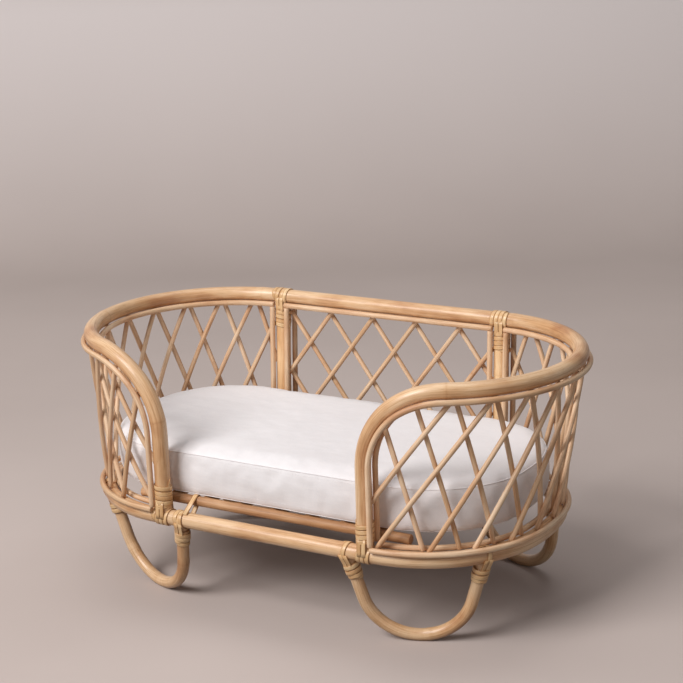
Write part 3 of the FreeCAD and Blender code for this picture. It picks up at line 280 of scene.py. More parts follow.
class Plan:
    """A level line seen from above, read by the distance from its start."""

    def __init__(self, stretches):
        points = [stretches[0][0]]
        for stretch in stretches:
            points += stretch[1:]
        self.points = np.array(points)
        self.reach = reach_along(self.points)
        self.length = float(self.reach[-1])

    def at(self, distance):
        return Vector((float(np.interp(distance, self.reach, self.points[:, 0])),
                       float(np.interp(distance, self.reach, self.points[:, 1])), 0.0))

    def heading(self, distance):
        near = 0.0015
        return (self.at(min(distance + near, self.length))
                - self.at(max(distance - near, 0.0))).normalized()

    def outward(self, distance):
        ahead = self.heading(distance)
        return Vector((ahead.y, -ahead.x, 0.0))

    def distance_at_x(self, start, end, x):
        for halving in range(40):
            half = (start + end) / 2
            start, end = (half, end) if self.at(half).x > x else (start, half)
        return start


def mirrored(stretches):
    """The same stretches on the other side of the middle, walked the other way."""
    return [[(-x, y) for x, y in reversed(stretch)] for stretch in reversed(stretches)]


# %% The ring's oval
bow_x = RING_LENGTH - RING_BOW
corner_y = RING_DEPTH - RING_CORNER
corner_x = bow_x + math.sqrt((RING_BOW - RING_CORNER) ** 2 - corner_y ** 2)
meeting = math.atan2(corner_y, corner_x - bow_x)
ring_right = [
    line_points((0, RING_Y - RING_DEPTH), (corner_x, RING_Y - RING_DEPTH)),
    arc_points((corner_x, RING_Y - corner_y), RING_CORNER, -math.pi / 2, -meeting),
    arc_points((bow_x, RING_Y), RING_BOW, -meeting, meeting),
    arc_points((corner_x, RING_Y + corner_y), RING_CORNER, meeting, math.pi / 2),
    line_points((corner_x, RING_Y + RING_DEPTH), (0, RING_Y + RING_DEPTH)),
]
ring_plan = Plan(ring_right + mirrored(ring_right))
upright_foot = ring_plan.at(UPRIGHT_X)

# %% The rail's oval
rail_y = RAIL_BACK - RAIL_CORNER
deep = rail_y - upright_foot.y
wide = RAIL_LENGTH - upright_foot.x
cosine, sine = math.cos(ARM_ANGLE), math.sin(ARM_ANGLE)
front_radius = (deep * cosine - wide * sine) / (1 - sine)
straight = wide * cosine / (1 - sine) - deep
arm_end = (upright_foot.x + straight * cosine, upright_foot.y + straight * sine)
rail_right = [
    line_points(tuple(upright_foot)[:2], arm_end),
    arc_points((RAIL_LENGTH - front_radius, rail_y), front_radius, ARM_ANGLE - math.pi / 2, 0),
    arc_points((RAIL_LENGTH - RAIL_CORNER, rail_y), RAIL_CORNER, 0, math.pi / 2),
    line_points((RAIL_LENGTH - RAIL_CORNER, RAIL_BACK), (0, RAIL_BACK)),
]
rail_plan = Plan(rail_right + mirrored(rail_right))
ring_post = ring_plan.distance_at_x(ring_plan.length / 4, ring_plan.length / 2, POST_X)
rail_post = rail_plan.distance_at_x(rail_plan.length / 4, rail_plan.length / 2, POST_X)
print("ring %.3f m round, rail %.3f m, front arm radius %.1f mm" % (
    ring_plan.length, rail_plan.length, front_radius * 1000))


# %% Walls between the ring and the rail
class Wall:
    """The ruled surface between a stretch of the ring and a stretch of the rail."""

    def __init__(self, foot_start, foot_end, head_start, head_end, has_arm):
        self.foot_start, self.length = foot_start, foot_end - foot_start
        self.head_start, self.head_length = head_start, head_end - head_start
        self.has_arm = has_arm

    def point(self, along, height, offset=0.0):
        over = along * self.head_length / self.length
        foot = ring_plan.at(self.foot_start + along)
        head = rail_plan.at(self.head_start + over)
        rise = (height - WALL_FOOT) / (WALL_HEAD - WALL_FOOT)
        ahead = ring_plan.heading(self.foot_start + along) * self.length * (1 - rise)
        ahead += rail_plan.heading(self.head_start + over) * self.head_length * rise
        ahead.normalize()
        side = Vector((ahead.y, -ahead.x, 0.0))
        return foot.lerp(head, rise) + side * offset + Vector((0, 0, height))

    def ceiling(self, along):
        """Height of the axis of the pole over this place."""
        over = along * self.head_length / self.length
        if not self.has_arm or over >= ARM_BEND:
            return RAIL_Z
        return RAIL_Z - ARM_BEND + math.sqrt(max(ARM_BEND ** 2 - (ARM_BEND - over) ** 2, 0.0))


end_wall = Wall(UPRIGHT_X, ring_post, 0.0, rail_post, True)
back_wall = Wall(ring_post, ring_plan.length - ring_post,
                 rail_post, rail_plan.length - rail_post, False)
print("end wall %.1f mm, back wall %.1f mm along the ring" % (
    end_wall.length * 1000, back_wall.length * 1000))

# %% [markdown]
# ## Sweeping a pole
# A pole could be a curve with a round bevel, but then it would be as even as a plastic pipe
# and its surface would carry no grain. Here a ring of points is set at every station instead.
# The rings are carried along without twisting, their size wavers by about a tenth of a
# millimetre, and growth nodes swell a little. The same pass writes grain and knot.


# %% Sweep
def carried_frames(points, closed):
    """Tangent and two cross directions at every point, carried along without twisting."""
    count = len(points)
    tangents = []
    for i in range(count):
        before = points[i - 1] if i or closed else points[i]
        after = points[(i + 1) % count] if i < count - 1 or closed else points[i]
        tangents.append((after - before).normalized())
    side = tangents[0].orthogonal().normalized()
    sides = []
    for tangent in tangents:
        side = (side - tangent * side.dot(tangent)).normalized()
        sides.append(side.copy())
    if closed:
        last = sides[-1] - tangents[0] * sides[-1].dot(tangents[0])
        slip = math.atan2(tangents[0].dot(last.cross(sides[0])), last.dot(sides[0]))
        for i in range(count):
            sides[i] = Matrix.Rotation(slip * i / count, 3, tangents[i]) @ sides[i]
    return [(t, s, t.cross(s)) for t, s in zip(tangents, sides)]


def spaced(points, step):
    """The same line with points this far apart."""
    flat = np.array([tuple(point) for point in points])
    reach = reach_along(flat)
    count = max(2, math.ceil(reach[-1] / step))
    stations = np.linspace(0.0, reach[-1], count + 1)
    return [Vector([float(np.interp(d, reach, flat[:, axis])) for axis in range(3)])
            for d in stations]


# %% [markdown]
# ## Stock on the bench
# Many pieces are one part of the bed but several solids, like the rods of a wall. A class
# gathers the solids of a piece, with the grain and the knot marks of each point, and then makes
# one mesh of them, which rides on a body of the model and takes the place of its nodes.

# %% Stock
class Stock:
    """Gathers swept solids into one mesh, with the grain and knot of every point."""

    def __init__(self):
        self.points, self.faces, self.grain, self.knot = [], [], [], []

    def pole(self, line, radius, sides=24, step=0.004, closed=False, nodes=(), waver=0.012,
             start_round=True, end_round=True, creases=0.0):
        """A round pole along a line of points. nodes gives the distances of growth nodes, and
        creases how strongly the skin wrinkles where the pole is bent hard."""
        if closed:
            line = list(line) + [line[0]]
        line = spaced(line, step)
        if closed:
            line = line[:-1]
        frames = carried_frames(line, closed)
        shift = random.uniform(0.0, 40.0)
        phase = [random.uniform(0.0, 2 * math.pi) for wave in range(3)]
        rings = []
        reach = 0.0
        for i, (centre, (_, side, up)) in enumerate(zip(line, frames)):
            if i:
                reach += (centre - line[i - 1]).length
            swell = sum(math.sin(reach * pitch + start) for pitch, start in
                        zip((21.0, 47.0, 83.0), phase)) / 3.0
            width = radius * (1.0 + waver * swell)
            mark = 0.0
            for node in nodes:
                away = abs(reach - node)
                mark = max(mark, math.exp(-(away / 0.0016) ** 2))
                width += radius * 0.035 * math.exp(-(away / 0.006) ** 2)
            behind, beyond = frames[max(i - 2, 0)][0], frames[min(i + 2, len(frames) - 1)][0]
            if creases and behind.angle(beyond) > 0.07:
                crease = random.random()
                mark = max(mark, creases * crease)
                width -= radius * 0.020 * crease
            rings.append((centre, side, up, width, reach, mark))
        if not closed:
            bevel = radius * 0.12
            for wanted, end, way in ((start_round, 0, -1), (end_round, -1, 1)):
                if wanted:
                    centre, side, up, width, reach, mark = rings[end]
                    tip = centre + frames[end][0] * (way * bevel)
                    rings.insert(len(rings) if end else 0,
                                 (tip, side, up, width - bevel, reach, mark))
        base = len(self.points)
        for centre, side, up, width, reach, mark in rings:
            for k in range(sides):
                turn = 2 * math.pi * k / sides
                a, b = math.cos(turn) * width, math.sin(turn) * width
                self.points.append(centre + side * a + up * b)
                self.grain.append((reach + shift, a, b))
                self.knot.append(mark)
        count = len(rings)
        for i in range(count if closed else count - 1):
            for k in range(sides):
                low, high = base + i * sides, base + ((i + 1) % count) * sides
                near = (k + 1) % sides
                self.faces.append((low + k, low + near, high + near, high + k))
        if not closed:
            self.faces.append(tuple(base + k for k in reversed(range(sides))))
            self.faces.append(tuple(base + (count - 1) * sides + k for k in range(sides)))

    def make(self, name, finish, slot, *nodes, body="frame"):
        """The gathered solids as one piece of the bed, in place of these nodes."""
        mesh = bpy.data.meshes.new(name)
        mesh.from_pydata([tuple(p) for p in self.points], [], self.faces)
        grain = mesh.attributes.new("grain", "FLOAT_VECTOR", "POINT")
        grain.data.foreach_set("vector", np.array(self.grain, np.float32).ravel())
        knot = mesh.attributes.new("knot", "FLOAT", "POINT")
        knot.data.foreach_set("value", np.array(self.knot, np.float32))
        mesh.polygons.foreach_set("use_smooth", [len(face) == 4 for face in self.faces])
        mesh.update()
        piece = placed(name, mesh)
        mesh.materials.append(finish)
        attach(piece, body)
        if nodes:
            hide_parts(*nodes)
        print("%-24s %6d faces" % (name, len(self.faces)))
        return piece


# %% [markdown]
# ## Base ring and top rail
# Both are poles as thick as a thumb. The ring closes on itself under the binding of the right
# upright. The rail starts on the ring as the right upright, bends over into the arm, runs
# round the back and comes down again as the left upright, all in one length. Each is drawn as
# one line and swept once: joined pieces would show seams where the real pole has none.

# %% Ring and rail
def level(plan, start, end, height, offset=0.0, step=0.003):
    """Points along a plan at one height, moved outward by the offset."""
    count = max(2, math.ceil((end - start) / step))
    distances = [start + (end - start) * i / count for i in range(count + 1)]
    return [plan.at(d) + plan.outward(d) * offset + Vector((0, 0, height)) for d in distances]


def arm(start_height, end, inset=0.0, offset=0.0):
    """Up beside or along the upright, round the bend, and level to this place on the rail."""
    bend = []
    for i in range(25):
        turn = math.pi / 2 * i / 24
        along = ARM_BEND - (ARM_BEND - inset) * math.cos(turn)
        height = RAIL_Z - ARM_BEND + (ARM_BEND - inset) * math.sin(turn)
        bend.append(rail_plan.at(along) + rail_plan.outward(along) * offset
                    + Vector((0, 0, height)))
    foot = Vector((bend[0].x, bend[0].y, start_height))
    return [foot] + bend + level(rail_plan, ARM_BEND, end, RAIL_Z - inset, offset)[1:]


HANDS = (("right", 1), ("left", -1))


def handed(line, side):
    """The line itself on the right, and its mirror image on the left."""
    return line if side > 0 else [Vector((-point.x, point.y, point.z)) for point in line]


ring = Stock()
start = level(ring_plan, UPRIGHT_X, ring_plan.length, RING_Z)
rest = level(ring_plan, 0.0, UPRIGHT_X, RING_Z)[1:-1]
ring.pole(start + rest, POLE, sides=32, closed=True, nodes=(0.31, 0.66, 1.02, 1.44))
ring.make("bent_base_ring", pole_finish, "rattan_pole", "base_ring")

rail = Stock()
half = arm(RING_Z + 0.002, rail_plan.length / 2)
rail.pole(half + handed(half, -1)[::-1][1:], POLE, sides=32, start_round=False,
          end_round=False, nodes=(0.24, 0.62, 0.97, 1.21, 1.47))
rail.make("bent_top_rail", pole_finish, "rattan_pole", "top_rail")

# %% [markdown]
# ## Back posts
# Two straight poles lean back a little between the ring and the rail. Their ends run into the
# poles that they meet, as a hollowed end does on the real bed.

# %% Posts
post_low = end_wall.point(end_wall.length, WALL_FOOT)
post_high = end_wall.point(end_wall.length, WALL_HEAD)
post_way = (post_high - post_low).normalized()
post_foot = post_low - post_way * ((post_low.z - RING_Z) / post_way.z)
post_head = post_high + post_way * ((RAIL_Z - post_high.z) / post_way.z)
for hand, side in HANDS:
    post = Stock()
    ends = [post_foot + post_way * 0.003, post_head - post_way * 0.003]
    post.pole(handed(ends, side), POLE, sides=32, start_round=False, end_round=False,
              nodes=(0.118 if side > 0 else 0.061,))
    post.make("back_post_pole_" + hand, post_tone_and_painted_light_finish, "rattan_pole", "back_post_" + hand)

# %% [markdown]
# ## Looped legs
# Each leg is one pole bent to a U, hung from two places on the ring. The front feet stand a
# little inside those places and the rear feet a little outside. Such a tight bend wrinkles the
# skin crosswise, so each ring of points there gets a crease of its own depth. Wear flattens the
# very bottom, so points below the floor are set on it.


# %% Legs
def leg_ends(side, rear):
    """The two places on the ring that carry a leg."""
    first = ring_plan.at(LEG_X)
    turn = -LEG_TURN
    second = Vector((corner_x + RING_CORNER * math.cos(turn),
                     RING_Y - corner_y + RING_CORNER * math.sin(turn), 0.0))
    return [Vector((side * p.x, RING_Y + (p.y - RING_Y) * rear, RING_Z)) for p in (first, second)]


def leg_line(side, rear):
    """The bent line of a leg, and for each end its joint and the way its limb leaves."""
    first, second = leg_ends(side, rear)
    middle = (first + second) / 2
    spread = (second - first).normalized()
    inward = Vector((0, 0, 1)).cross(spread) * (side * rear)
    tuck = FRONT_TUCK if rear > 0 else -REAR_KICK
    drop = inward * tuck - Vector((0, 0, 1)) * (RING_Z - (LEG - 0.0008))
    depth, down = drop.length, drop.normalized()
    half = (second - first).length / 2
    bend = (half * math.cos(LEG_LEAN) - depth * math.sin(LEG_LEAN)) / (1 - math.sin(LEG_LEAN))
    line = [(-half, 0.0)]
    for i in range(41):
        turn = -math.pi + LEG_LEAN + (math.pi - 2 * LEG_LEAN) * i / 40
        line.append((bend * math.cos(turn), bend - depth + bend * math.sin(turn)))
    line.append((half, 0.0))
    points = [middle + spread * x - down * y for x, y in line]
    ways = [(down * math.cos(LEG_LEAN) - spread * way * math.sin(LEG_LEAN)) for way in (-1, 1)]
    return points, [(first, ways[0]), (second, ways[1])]


CORNERS = {"front_right": (1, 1), "front_left": (-1, 1),
           "rear_right": (1, -1), "rear_left": (-1, -1)}
leg_nodes = {"front_right": (0.150,), "front_left": (0.058, 0.196),
             "rear_right": (0.064,), "rear_left": (0.163,)}
leg_joints = {}
for name, (side, rear) in CORNERS.items():
    points, leg_joints[name] = leg_line(side, rear)
    points[0] = points[0] + (points[1] - points[0]).normalized() * 0.004
    points[-1] = points[-1] + (points[-2] - points[-1]).normalized() * 0.004
    leg = Stock()
    leg.pole(points, LEG, sides=28, step=0.0018, nodes=leg_nodes[name], waver=0.02,
             start_round=False, end_round=False, creases=0.75)
    leg.points = [Vector((p.x, p.y, max(p.z, 0.0))) for p in leg.points]
    leg.make("bent_leg_" + name, pole_finish, "rattan_pole", "leg_" + name)

# %% [markdown]
# ## Framing strips and lattice rods
# A pair of thin strips, one outside and one inside, follows every thick pole round a wall.
# Between them lie two layers of rods that lean opposite ways. A rod is a straight line on the
# unrolled wall, so it is drawn there and carried onto the wall point by point. Its ends stop
# in the shadow between the strips and the pole.

# %% Strips
LAYERS = (("outer", 1), ("inner", -1))
beside_strands = (4 * PEEL_PITCH - 0.0002) / 2 + GAP
beside_post = math.sqrt((BOUND + GAP) ** 2 - (STRIP_OUT - STRIP) ** 2)
strip_top = STRIP_IN + STRIP
side_low, side_high = RING_Z + strip_top + GAP, RAIL_Z - strip_top - GAP
from_post = STRIP_IN + 0.001


def split_strips(name, *lines):
    """One piece that has a strip along each of these lines."""
    strips = Stock()
    for line in lines:
        strips.pole(line, STRIP, sides=16, waver=0.03)
    strips.make("split_" + name, rod_finish, "rattan_core", name)


def post_strips(wall, distance, side=1):
    """The outer and the inner strip beside a post."""
    share = distance / wall.head_length
    if distance > wall.length / 2:
        share = 1 - (wall.length - distance) / wall.head_length
    return [handed([wall.point(distance, side_low, out * STRIP_OUT),
                    wall.point(wall.length * share, side_high, out * STRIP_OUT)], side)
            for layer, out in LAYERS]


for layer, out in LAYERS:
    offset = out * STRIP_OUT
    top = arm(side_low, rail_post - beside_post, STRIP_IN, offset)
    bottom = level(ring_plan, UPRIGHT_X + beside_strands, ring_post - beside_strands,
                   WALL_FOOT, offset)
    for hand, side in HANDS:
        split_strips("%s_top_strip_%s" % (hand, layer), handed(top, side))
        split_strips("%s_bottom_strip_%s" % (hand, layer), handed(bottom, side))
    for place, plan, start, height in (
            ("top", rail_plan, rail_post + beside_post, WALL_HEAD),
            ("bottom", ring_plan, ring_post + beside_strands, WALL_FOOT)):
        split_strips("back_%s_strip_%s" % (place, layer),
                     level(plan, start, plan.length - start, height, offset))
for hand, side in HANDS:
    split_strips(hand + "_post_strips", *post_strips(end_wall, end_wall.length - from_post, side))
split_strips("back_post_strips", *post_strips(back_wall, from_post),
             *post_strips(back_wall, back_wall.length - from_post))


# %% One rod
SHORTEST_ROD, ROOM_UNDER_ARM = 0.078, 0.022


def rod_line(wall, foot, head, offset):
    """One rod from where it crosses the lower mark to where it crosses the upper one."""
    foot_mark, head_mark = RING_Z + strip_top, RAIL_Z - strip_top

    def place(share):
        height = RING_Z + (RAIL_Z - RING_Z) * share
        return foot + (head - foot) * (height - foot_mark) / (head_mark - foot_mark), height

    def room(share):
        """How far this point is inside the poles that frame the wall."""
        along, height = place(share)
        gaps = [height - RING_Z, along, wall.length - along]
        if wall.has_arm and along < ARM_BEND * wall.length / wall.head_length:
            over = along * wall.head_length / wall.length
            reach = math.hypot(ARM_BEND - over, height - (RAIL_Z - ARM_BEND))
            gaps.append(ARM_BEND - reach if height > RAIL_Z - ARM_BEND else over)
        else:
            gaps.append(RAIL_Z - height)
        return min(gaps)

    inside = [i / 400 for i in range(401) if room(i / 400) > POLE + 0.0012]
    if len(inside) < 2:
        return None
    low, high = inside[0], inside[-1]
    ends = [wall.point(*place(share)) for share in (low, high)]
    along, height = place((low + high) / 2)
    short = (ends[1] - ends[0]).length < SHORTEST_ROD
    if short or wall.ceiling(along) - height < ROOM_UNDER_ARM:
        return None
    return [wall.point(*place(low + (high - low) * i / 24), offset) for i in range(25)]


# %% Layers of rods
def lay_rods(name, wall, lines, offset, side, node):
    layer = Stock()
    for foot, head in lines:
        line = rod_line(wall, foot, head, offset)
        if line:
            nodes = (random.uniform(0.03, 0.17),) if random.random() < 0.3 else ()
            width = ROD * random.uniform(0.99, 1.06)
            layer.pole(handed(line, side), width, sides=14, step=0.006,
                       nodes=nodes, waver=0.035)
    layer.make(name, rod_finish, "rattan_core", node)


END_SPACING, BACK_SPACING, BACK_LEAN = 0.040, 0.0595, 0.122
to_back, to_front = [], []
for i in range(-4, 14):
    foot = 0.017 + END_SPACING * i
    closer = 0.032 * (1 - 0.5 ** max(i, 0))
    to_back.append((foot + closer, foot + 0.110))
    head = 0.054 + END_SPACING * i
    to_front.append((head + 0.050, head))
for hand, side in HANDS:
    for layer, out in LAYERS:
        node = "%s_rods_%s" % (hand, layer)
        lay_rods("lattice_" + node, end_wall, to_back if side * out > 0 else to_front,
                 out * LAYER, side, node)
for (layer, out), first in zip(LAYERS, (0.061, 0.0525)):
    heads = [first + BACK_SPACING * i for i in range(-4, 11)]
    node = "back_rods_" + layer
    lay_rods("lattice_" + node, back_wall, [(head - out * BACK_LEAN, head) for head in heads],
             out * LAYER, 1, node)

# %% [markdown]
# ## Seat frame
# A ladder of two long poles and seven cross bars carries the cushion. The poles sit on the
# lower inner strips. The model already has their places, so the boxes of its nodes are read.
# The poles and bars get a darker, browner finish of their own: painted shade under the cushion.

# %% Seat frame
seat_middles = {}
for name in ("seat_pole_front", "seat_pole_back"):
    low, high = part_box(name)
    y, z = (low.y + high.y) / 2, (low.z + high.z) / 2
    seat_middles[name] = Vector((0.0, y, z))
    print("%s: middle at y %.1f, z %.1f mm" % (name, y * 1000, z * 1000))
    pole = Stock()
    pole.pole([Vector((low.x, y, z)), Vector((high.x, y, z))], SEAT, sides=24, nodes=(0.13, 0.27))
    pole.make(name.replace("seat_pole", "seat_long_pole"), seat_painted_shade_finish, "rattan_pole", name)
BARS, BAR_SPACING = 7, 0.045
bars = Stock()
seat_front, seat_back = seat_middles["seat_pole_front"], seat_middles["seat_pole_back"]
let_in = Vector((0, 0.003, 0))
for i in range(BARS):
    x = Vector(((i - BARS // 2) * BAR_SPACING, 0.0, 0.0))
    bars.pole([seat_front + x + let_in, seat_back + x - let_in], SEAT, sides=20,
              nodes=(random.uniform(0.05, 0.2),), start_round=False, end_round=False)
bars.make("seat_ladder_bars", seat_painted_shade_finish, "rattan_pole", "seat_cross_bars")

# %% [markdown]
# ## Wound peel
# Peel is the glossy skin of the vine, split to a flat strip about five millimetres wide. Every
# joint is bound with it. A ring per turn would be easier to make, but a binding shows the slant
# of its one strip, so a real ribbon is drawn here: a section with a domed face is carried along
# a line, and stays turned away from the pole under it.


# %% Ribbon
def ribbon(stock, line, normals, width=PEEL_WIDTH, thick=PEEL_THICK, taper=None):
    """A flat strip with a domed face along a line. normals point away from the wrapped pole."""
    section = []
    for k in range(9):
        x = -0.5 + k / 8
        section.append((x, 1.0 - 0.38 * (2 * abs(x)) ** 4.0))
    section += [(0.47, 0.0), (0.0, 0.0), (-0.47, 0.0)]
    shift = random.uniform(0.0, 40.0)
    base, sides, reach = len(stock.points), len(section), 0.0
    for i, (centre, normal) in enumerate(zip(line, normals)):
        if i:
            reach += (centre - line[i - 1]).length
        ahead = (line[min(i + 1, len(line) - 1)] - line[max(i - 1, 0)]).normalized()
        normal = (normal - ahead * normal.dot(ahead)).normalized()
        side = ahead.cross(normal)
        narrow = taper[i] if taper else 1.0
        for x, z in section:
            stock.points.append(centre + side * x * width * narrow + normal * z * thick)
            stock.grain.append((reach + shift, x * width, z * thick))
            stock.knot.append(0.0)
    for i in range(len(line) - 1):
        for k in range(sides):
            low, high, near = base + i * sides, base + (i + 1) * sides, (k + 1) % sides
            stock.faces.append((low + k, high + k, high + near, low + near))
    last = base + (len(line) - 1) * sides
    stock.faces.append(tuple(base + k for k in range(sides)))
    stock.faces.append(tuple(last + k for k in reversed(range(sides))))


# %% [markdown]
# ## Winding the ribbon
# The line of a winding is a helix round the middle line of a pole, with the small tilts and
# uneven gaps of handwork, and with both ends diving under the turns. A strip end that has come
# loose is a short ribbon of its own that gets narrower and stands off.

# %% Windings
def wind(stock, axis, first, turns, radius, start=0.0, hand=1.0, loose=0.00045):
    """Winds a strip round a pole. axis(d) gives its centre and two cross directions."""
    steps, tuck = 36, 0.22
    marks = range(-1, math.ceil(turns) + 2)
    slips = [random.uniform(-loose, loose) for mark in marks]
    lifts = [random.uniform(0.0, 0.0004) for mark in marks]
    tilt = random.uniform(-1.4, 1.4) * loose
    line, normals = [], []
    count = math.ceil((turns + 2 * tuck) * steps)
    for i in range(count + 1):
        turn = -tuck + (turns + 2 * tuck) * i / count
        angle = start + hand * 2 * math.pi * turn
        into = max(0.0, -turn, turn - turns) / tuck
        along = first + PEEL_PITCH * min(max(turn, 0.0), turns) + tilt * math.sin(angle)
        along += float(np.interp(turn, marks, slips))
        along += PEEL_PITCH * 0.35 * into * (1 if turn < 0 else -1)
        lift = float(np.interp(turn, marks, lifts)) * (1 - into)
        centre, side, up = axis(along)
        out = side * math.cos(angle) + up * math.sin(angle)
        line.append(centre + out * (radius + 0.0001 + lift - 0.0019 * into ** 1.5))
        normals.append(out)
    ribbon(stock, line, normals, width=PEEL_WIDTH * random.uniform(0.98, 1.04))


def loose_end(stock, axis, first, length, radius, angle, drift, lift):
    """The pointed end of a strip that has slipped out from under the turns of a binding."""
    line, normals, taper = [], [], []
    for i in range(15):
        share = i / 14
        centre, side, up = axis(first + length * share)
        turn = angle + drift * share
        out = side * math.cos(turn) + up * math.sin(turn)
        line.append(centre + out * (radius + 0.0002 + lift * share ** 1.6))
        normals.append(out)
        taper.append(max(0.04, 0.75 * (1 - share ** 2.2)))
    ribbon(stock, line, normals, thick=0.0008, taper=taper)


# %% Where a winding is wound
def pole_axis(joint, way):
    """Reads a straight pole that leaves a joint, by the distance from the joint."""
    side = way.orthogonal().normalized()
    up = way.cross(side)
    return lambda along: (joint + way * along, side, up)


def plan_axis(plan, height, side, rear):
    """Reads a level pole by the distance along it, mirrored to the left or to the rear."""
    def read(along):
        centre, out = plan.at(along), plan.outward(along)
        y = centre.y if rear > 0 else 2 * RING_Y - centre.y
        return (Vector((centre.x * side, y, height)),
                Vector((out.x * side, out.y * rear, 0.0)), Vector((0, 0, 1)))
    return read


# %% [markdown]
# ## Binding a joint
# A joint is bound with a few strands over the thick pole, and then turns round the pole that
# joins it. Between the two the strands run straight from one pole to the other. The legs carry
# the weight, so their bindings get a second, looser layer over the first.

# %% Bindings
def run_down(stock, axis, outward, heading, radius, first):
    """Strands from the faces of the thick pole to the joined pole, under its first turns."""
    for face in (1, -1):
        for beside in (-0.5, 0.5):
            line = []
            for along, off in ((0.0, BOUND - 0.0006), (first * 0.5, (BOUND + radius) / 2),
                               (first, radius + 0.0004), (first + 0.004, radius + 0.0001),
                               (first + 0.009, radius - 0.0005)):
                centre = axis(along)[0]
                line.append(centre + outward * (face * off) + heading * (beside * PEEL_PITCH))
            ribbon(stock, line, [outward * face] * len(line), width=PEEL_WIDTH * 0.96)


def bind(name, node, ends, slipped=None):
    """A whole binding: for each joint, strands over the thick pole and turns round the other.

    slipped gives the joint number, first, length, angle, drift and lift of a loose end."""
    peel = Stock()
    for plan, height, side, rear, distance, joint, way, radius, turns, strands in ends:
        heading = plan.heading(distance)
        heading = Vector((side * heading.x, heading.y * rear, 0.0))
        lean = abs(way.dot(heading))
        reach = radius + 0.0014
        first = (BOUND + 0.0002 + reach * lean) / math.sqrt(1 - lean ** 2)
        start = random.uniform(0.0, 6.28)
        outward = heading.cross(way).normalized()
        axis = pole_axis(joint, way)
        run_down(peel, axis, outward, heading, radius, first)
        wind(peel, axis, first + PEEL_WIDTH / 2, turns - 1 + 0.25, radius, start=start, hand=side)
        if radius < POLE:
            wind(peel, axis, first + PEEL_WIDTH * 0.9, turns - 1.9, radius + PEEL_THICK,
                 start=start + 2.1, hand=side, loose=0.0010)
        wind(peel, plan_axis(plan, height, side, rear),
             distance - (strands - 1) / 2 * PEEL_PITCH, strands - 1 + 0.3, POLE,
             start=math.pi * 0.75, hand=side)
    if slipped:
        number, first, length, angle, drift, lift = slipped
        joint, way, radius = ends[number][5:8]
        loose_end(peel, pole_axis(joint, way), first, length, radius, angle, drift, lift)
    return peel.make(name, peel_finish, "rattan_peel", node)


# %% Legs, uprights and posts are bound
leg_side_distance = corner_x + RING_CORNER * (math.pi / 2 - LEG_TURN)
for name, (side, rear) in CORNERS.items():
    ends = [(ring_plan, RING_Z, side, rear, distance, joint, way, LEG, 4, 2)
            for distance, (joint, way) in zip((LEG_X, leg_side_distance), leg_joints[name])]
    slipped = (1, 0.0300, 0.0090, 2.4, 0.40, 0.0010) if name == "front_right" else None
    bind("wound_leg_%s" % name, "leg_%s_binding" % name, ends, slipped)
for hand, side in HANDS:
    flip, up = Vector((side, 1, 1)), Vector((0, 0, 1))
    foot = Vector((side * upright_foot.x, upright_foot.y, RING_Z))
    way = post_way * flip
    for place, node, plan, height, distance, joint, way, slipped in (
            ("upright_", "upright_binding_", ring_plan, RING_Z, UPRIGHT_X, foot, up,
             (0, 0.0345, 0.0125, -0.95, 0.10, 0.0012)),
            ("post_foot_", "post_foot_binding_", ring_plan, RING_Z, ring_post,
             post_foot * flip, way, None),
            ("post_head_", "post_head_binding_", rail_plan, RAIL_Z, rail_post,
             post_head * flip, -way, (0, 0.0350, 0.0110, -1.50, -0.35, 0.0010))):
        bind("wound_" + place + hand, node + hand,
             [(plan, height, side, 1, distance, joint, way, POLE, 5, 4)],
             slipped if side < 0 else None)


# %% Tie between the ring and the seat frame
def tie_line(x, slack):
    """Once round the front of the ring and the front seat pole, and one strand's width along."""
    ring_hub = Vector((0.0, RING_Y - RING_DEPTH, RING_Z))
    apart = seat_front - ring_hub
    towards = math.atan2(apart.z, apart.y)
    spread = math.acos((POLE - SEAT) / apart.length)
    lap = []
    low, high = towards - spread, towards + spread
    for hub, reach, start, end in ((ring_hub, POLE, high, low + 2 * math.pi),
                                   (seat_front, SEAT, low, high)):
        for i in range(17):
            turn = start + (end - start) * i / 16
            out = Vector((0.0, math.cos(turn), math.sin(turn)))
            lap.append((hub + out * (reach + slack), out))
    line, normals = [], []
    for i in range(len(lap) + 1):
        point, out = lap[i % len(lap)]
        line.append(point + Vector((x + PEEL_PITCH * i / len(lap), 0.0, 0.0)))
        normals.append(out)
    return line, normals


tie = Stock()
line, normals = tie_line(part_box("seat_tie")[0].x - 0.004, 0.0005)
ribbon(tie, line, normals, width=PEEL_WIDTH * 1.2)
tie.make("wound_seat_tie", peel_finish, "rattan_peel", "seat_tie")

# %% [markdown]
# ## Screws
# Countersunk wood screws hold each joint before it is bound. They sit inside the poles, so
# nothing new is drawn: the model's own solids stay, and only get a finish of worn zinc.

# %% Screws
steel = Finish("zinc_steel")
scratches = steel.noise(steel.place(), 900.0, 3.0)
worn = steel.add("ShaderNodeMapRange", {"Value": scratches, "To Min": 0.3, "To Max": 0.5})
steel.dress({"Metallic": 1.0, "Roughness": worn.outputs["Result"],
             "Base Color": steel.two_tones(scratches, (150, 152, 156), (196, 198, 200))})
for name in ("leg_screws", "upright_screws", "post_screws"):
    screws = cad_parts[name].data
    screws.materials.clear()
    screws.materials.append(steel.material)
    print("%-24s %6d faces" % (name, len(screws.polygons)))

# %% [markdown]
# ## The cushion
# The cushion is a boxed pad: a top panel and a bottom panel joined by an upright band, with a
# thin welt sewn into the upper seam and a doubled hem round the foot. A block with rounded
# edges would look like foam in a shop. Here the flat pattern is drawn a little too small, and
# Blender's cloth blows it up like a filled cover while its two seams hold still, so the top
# swells over the welt and the band bellies out between the seams.

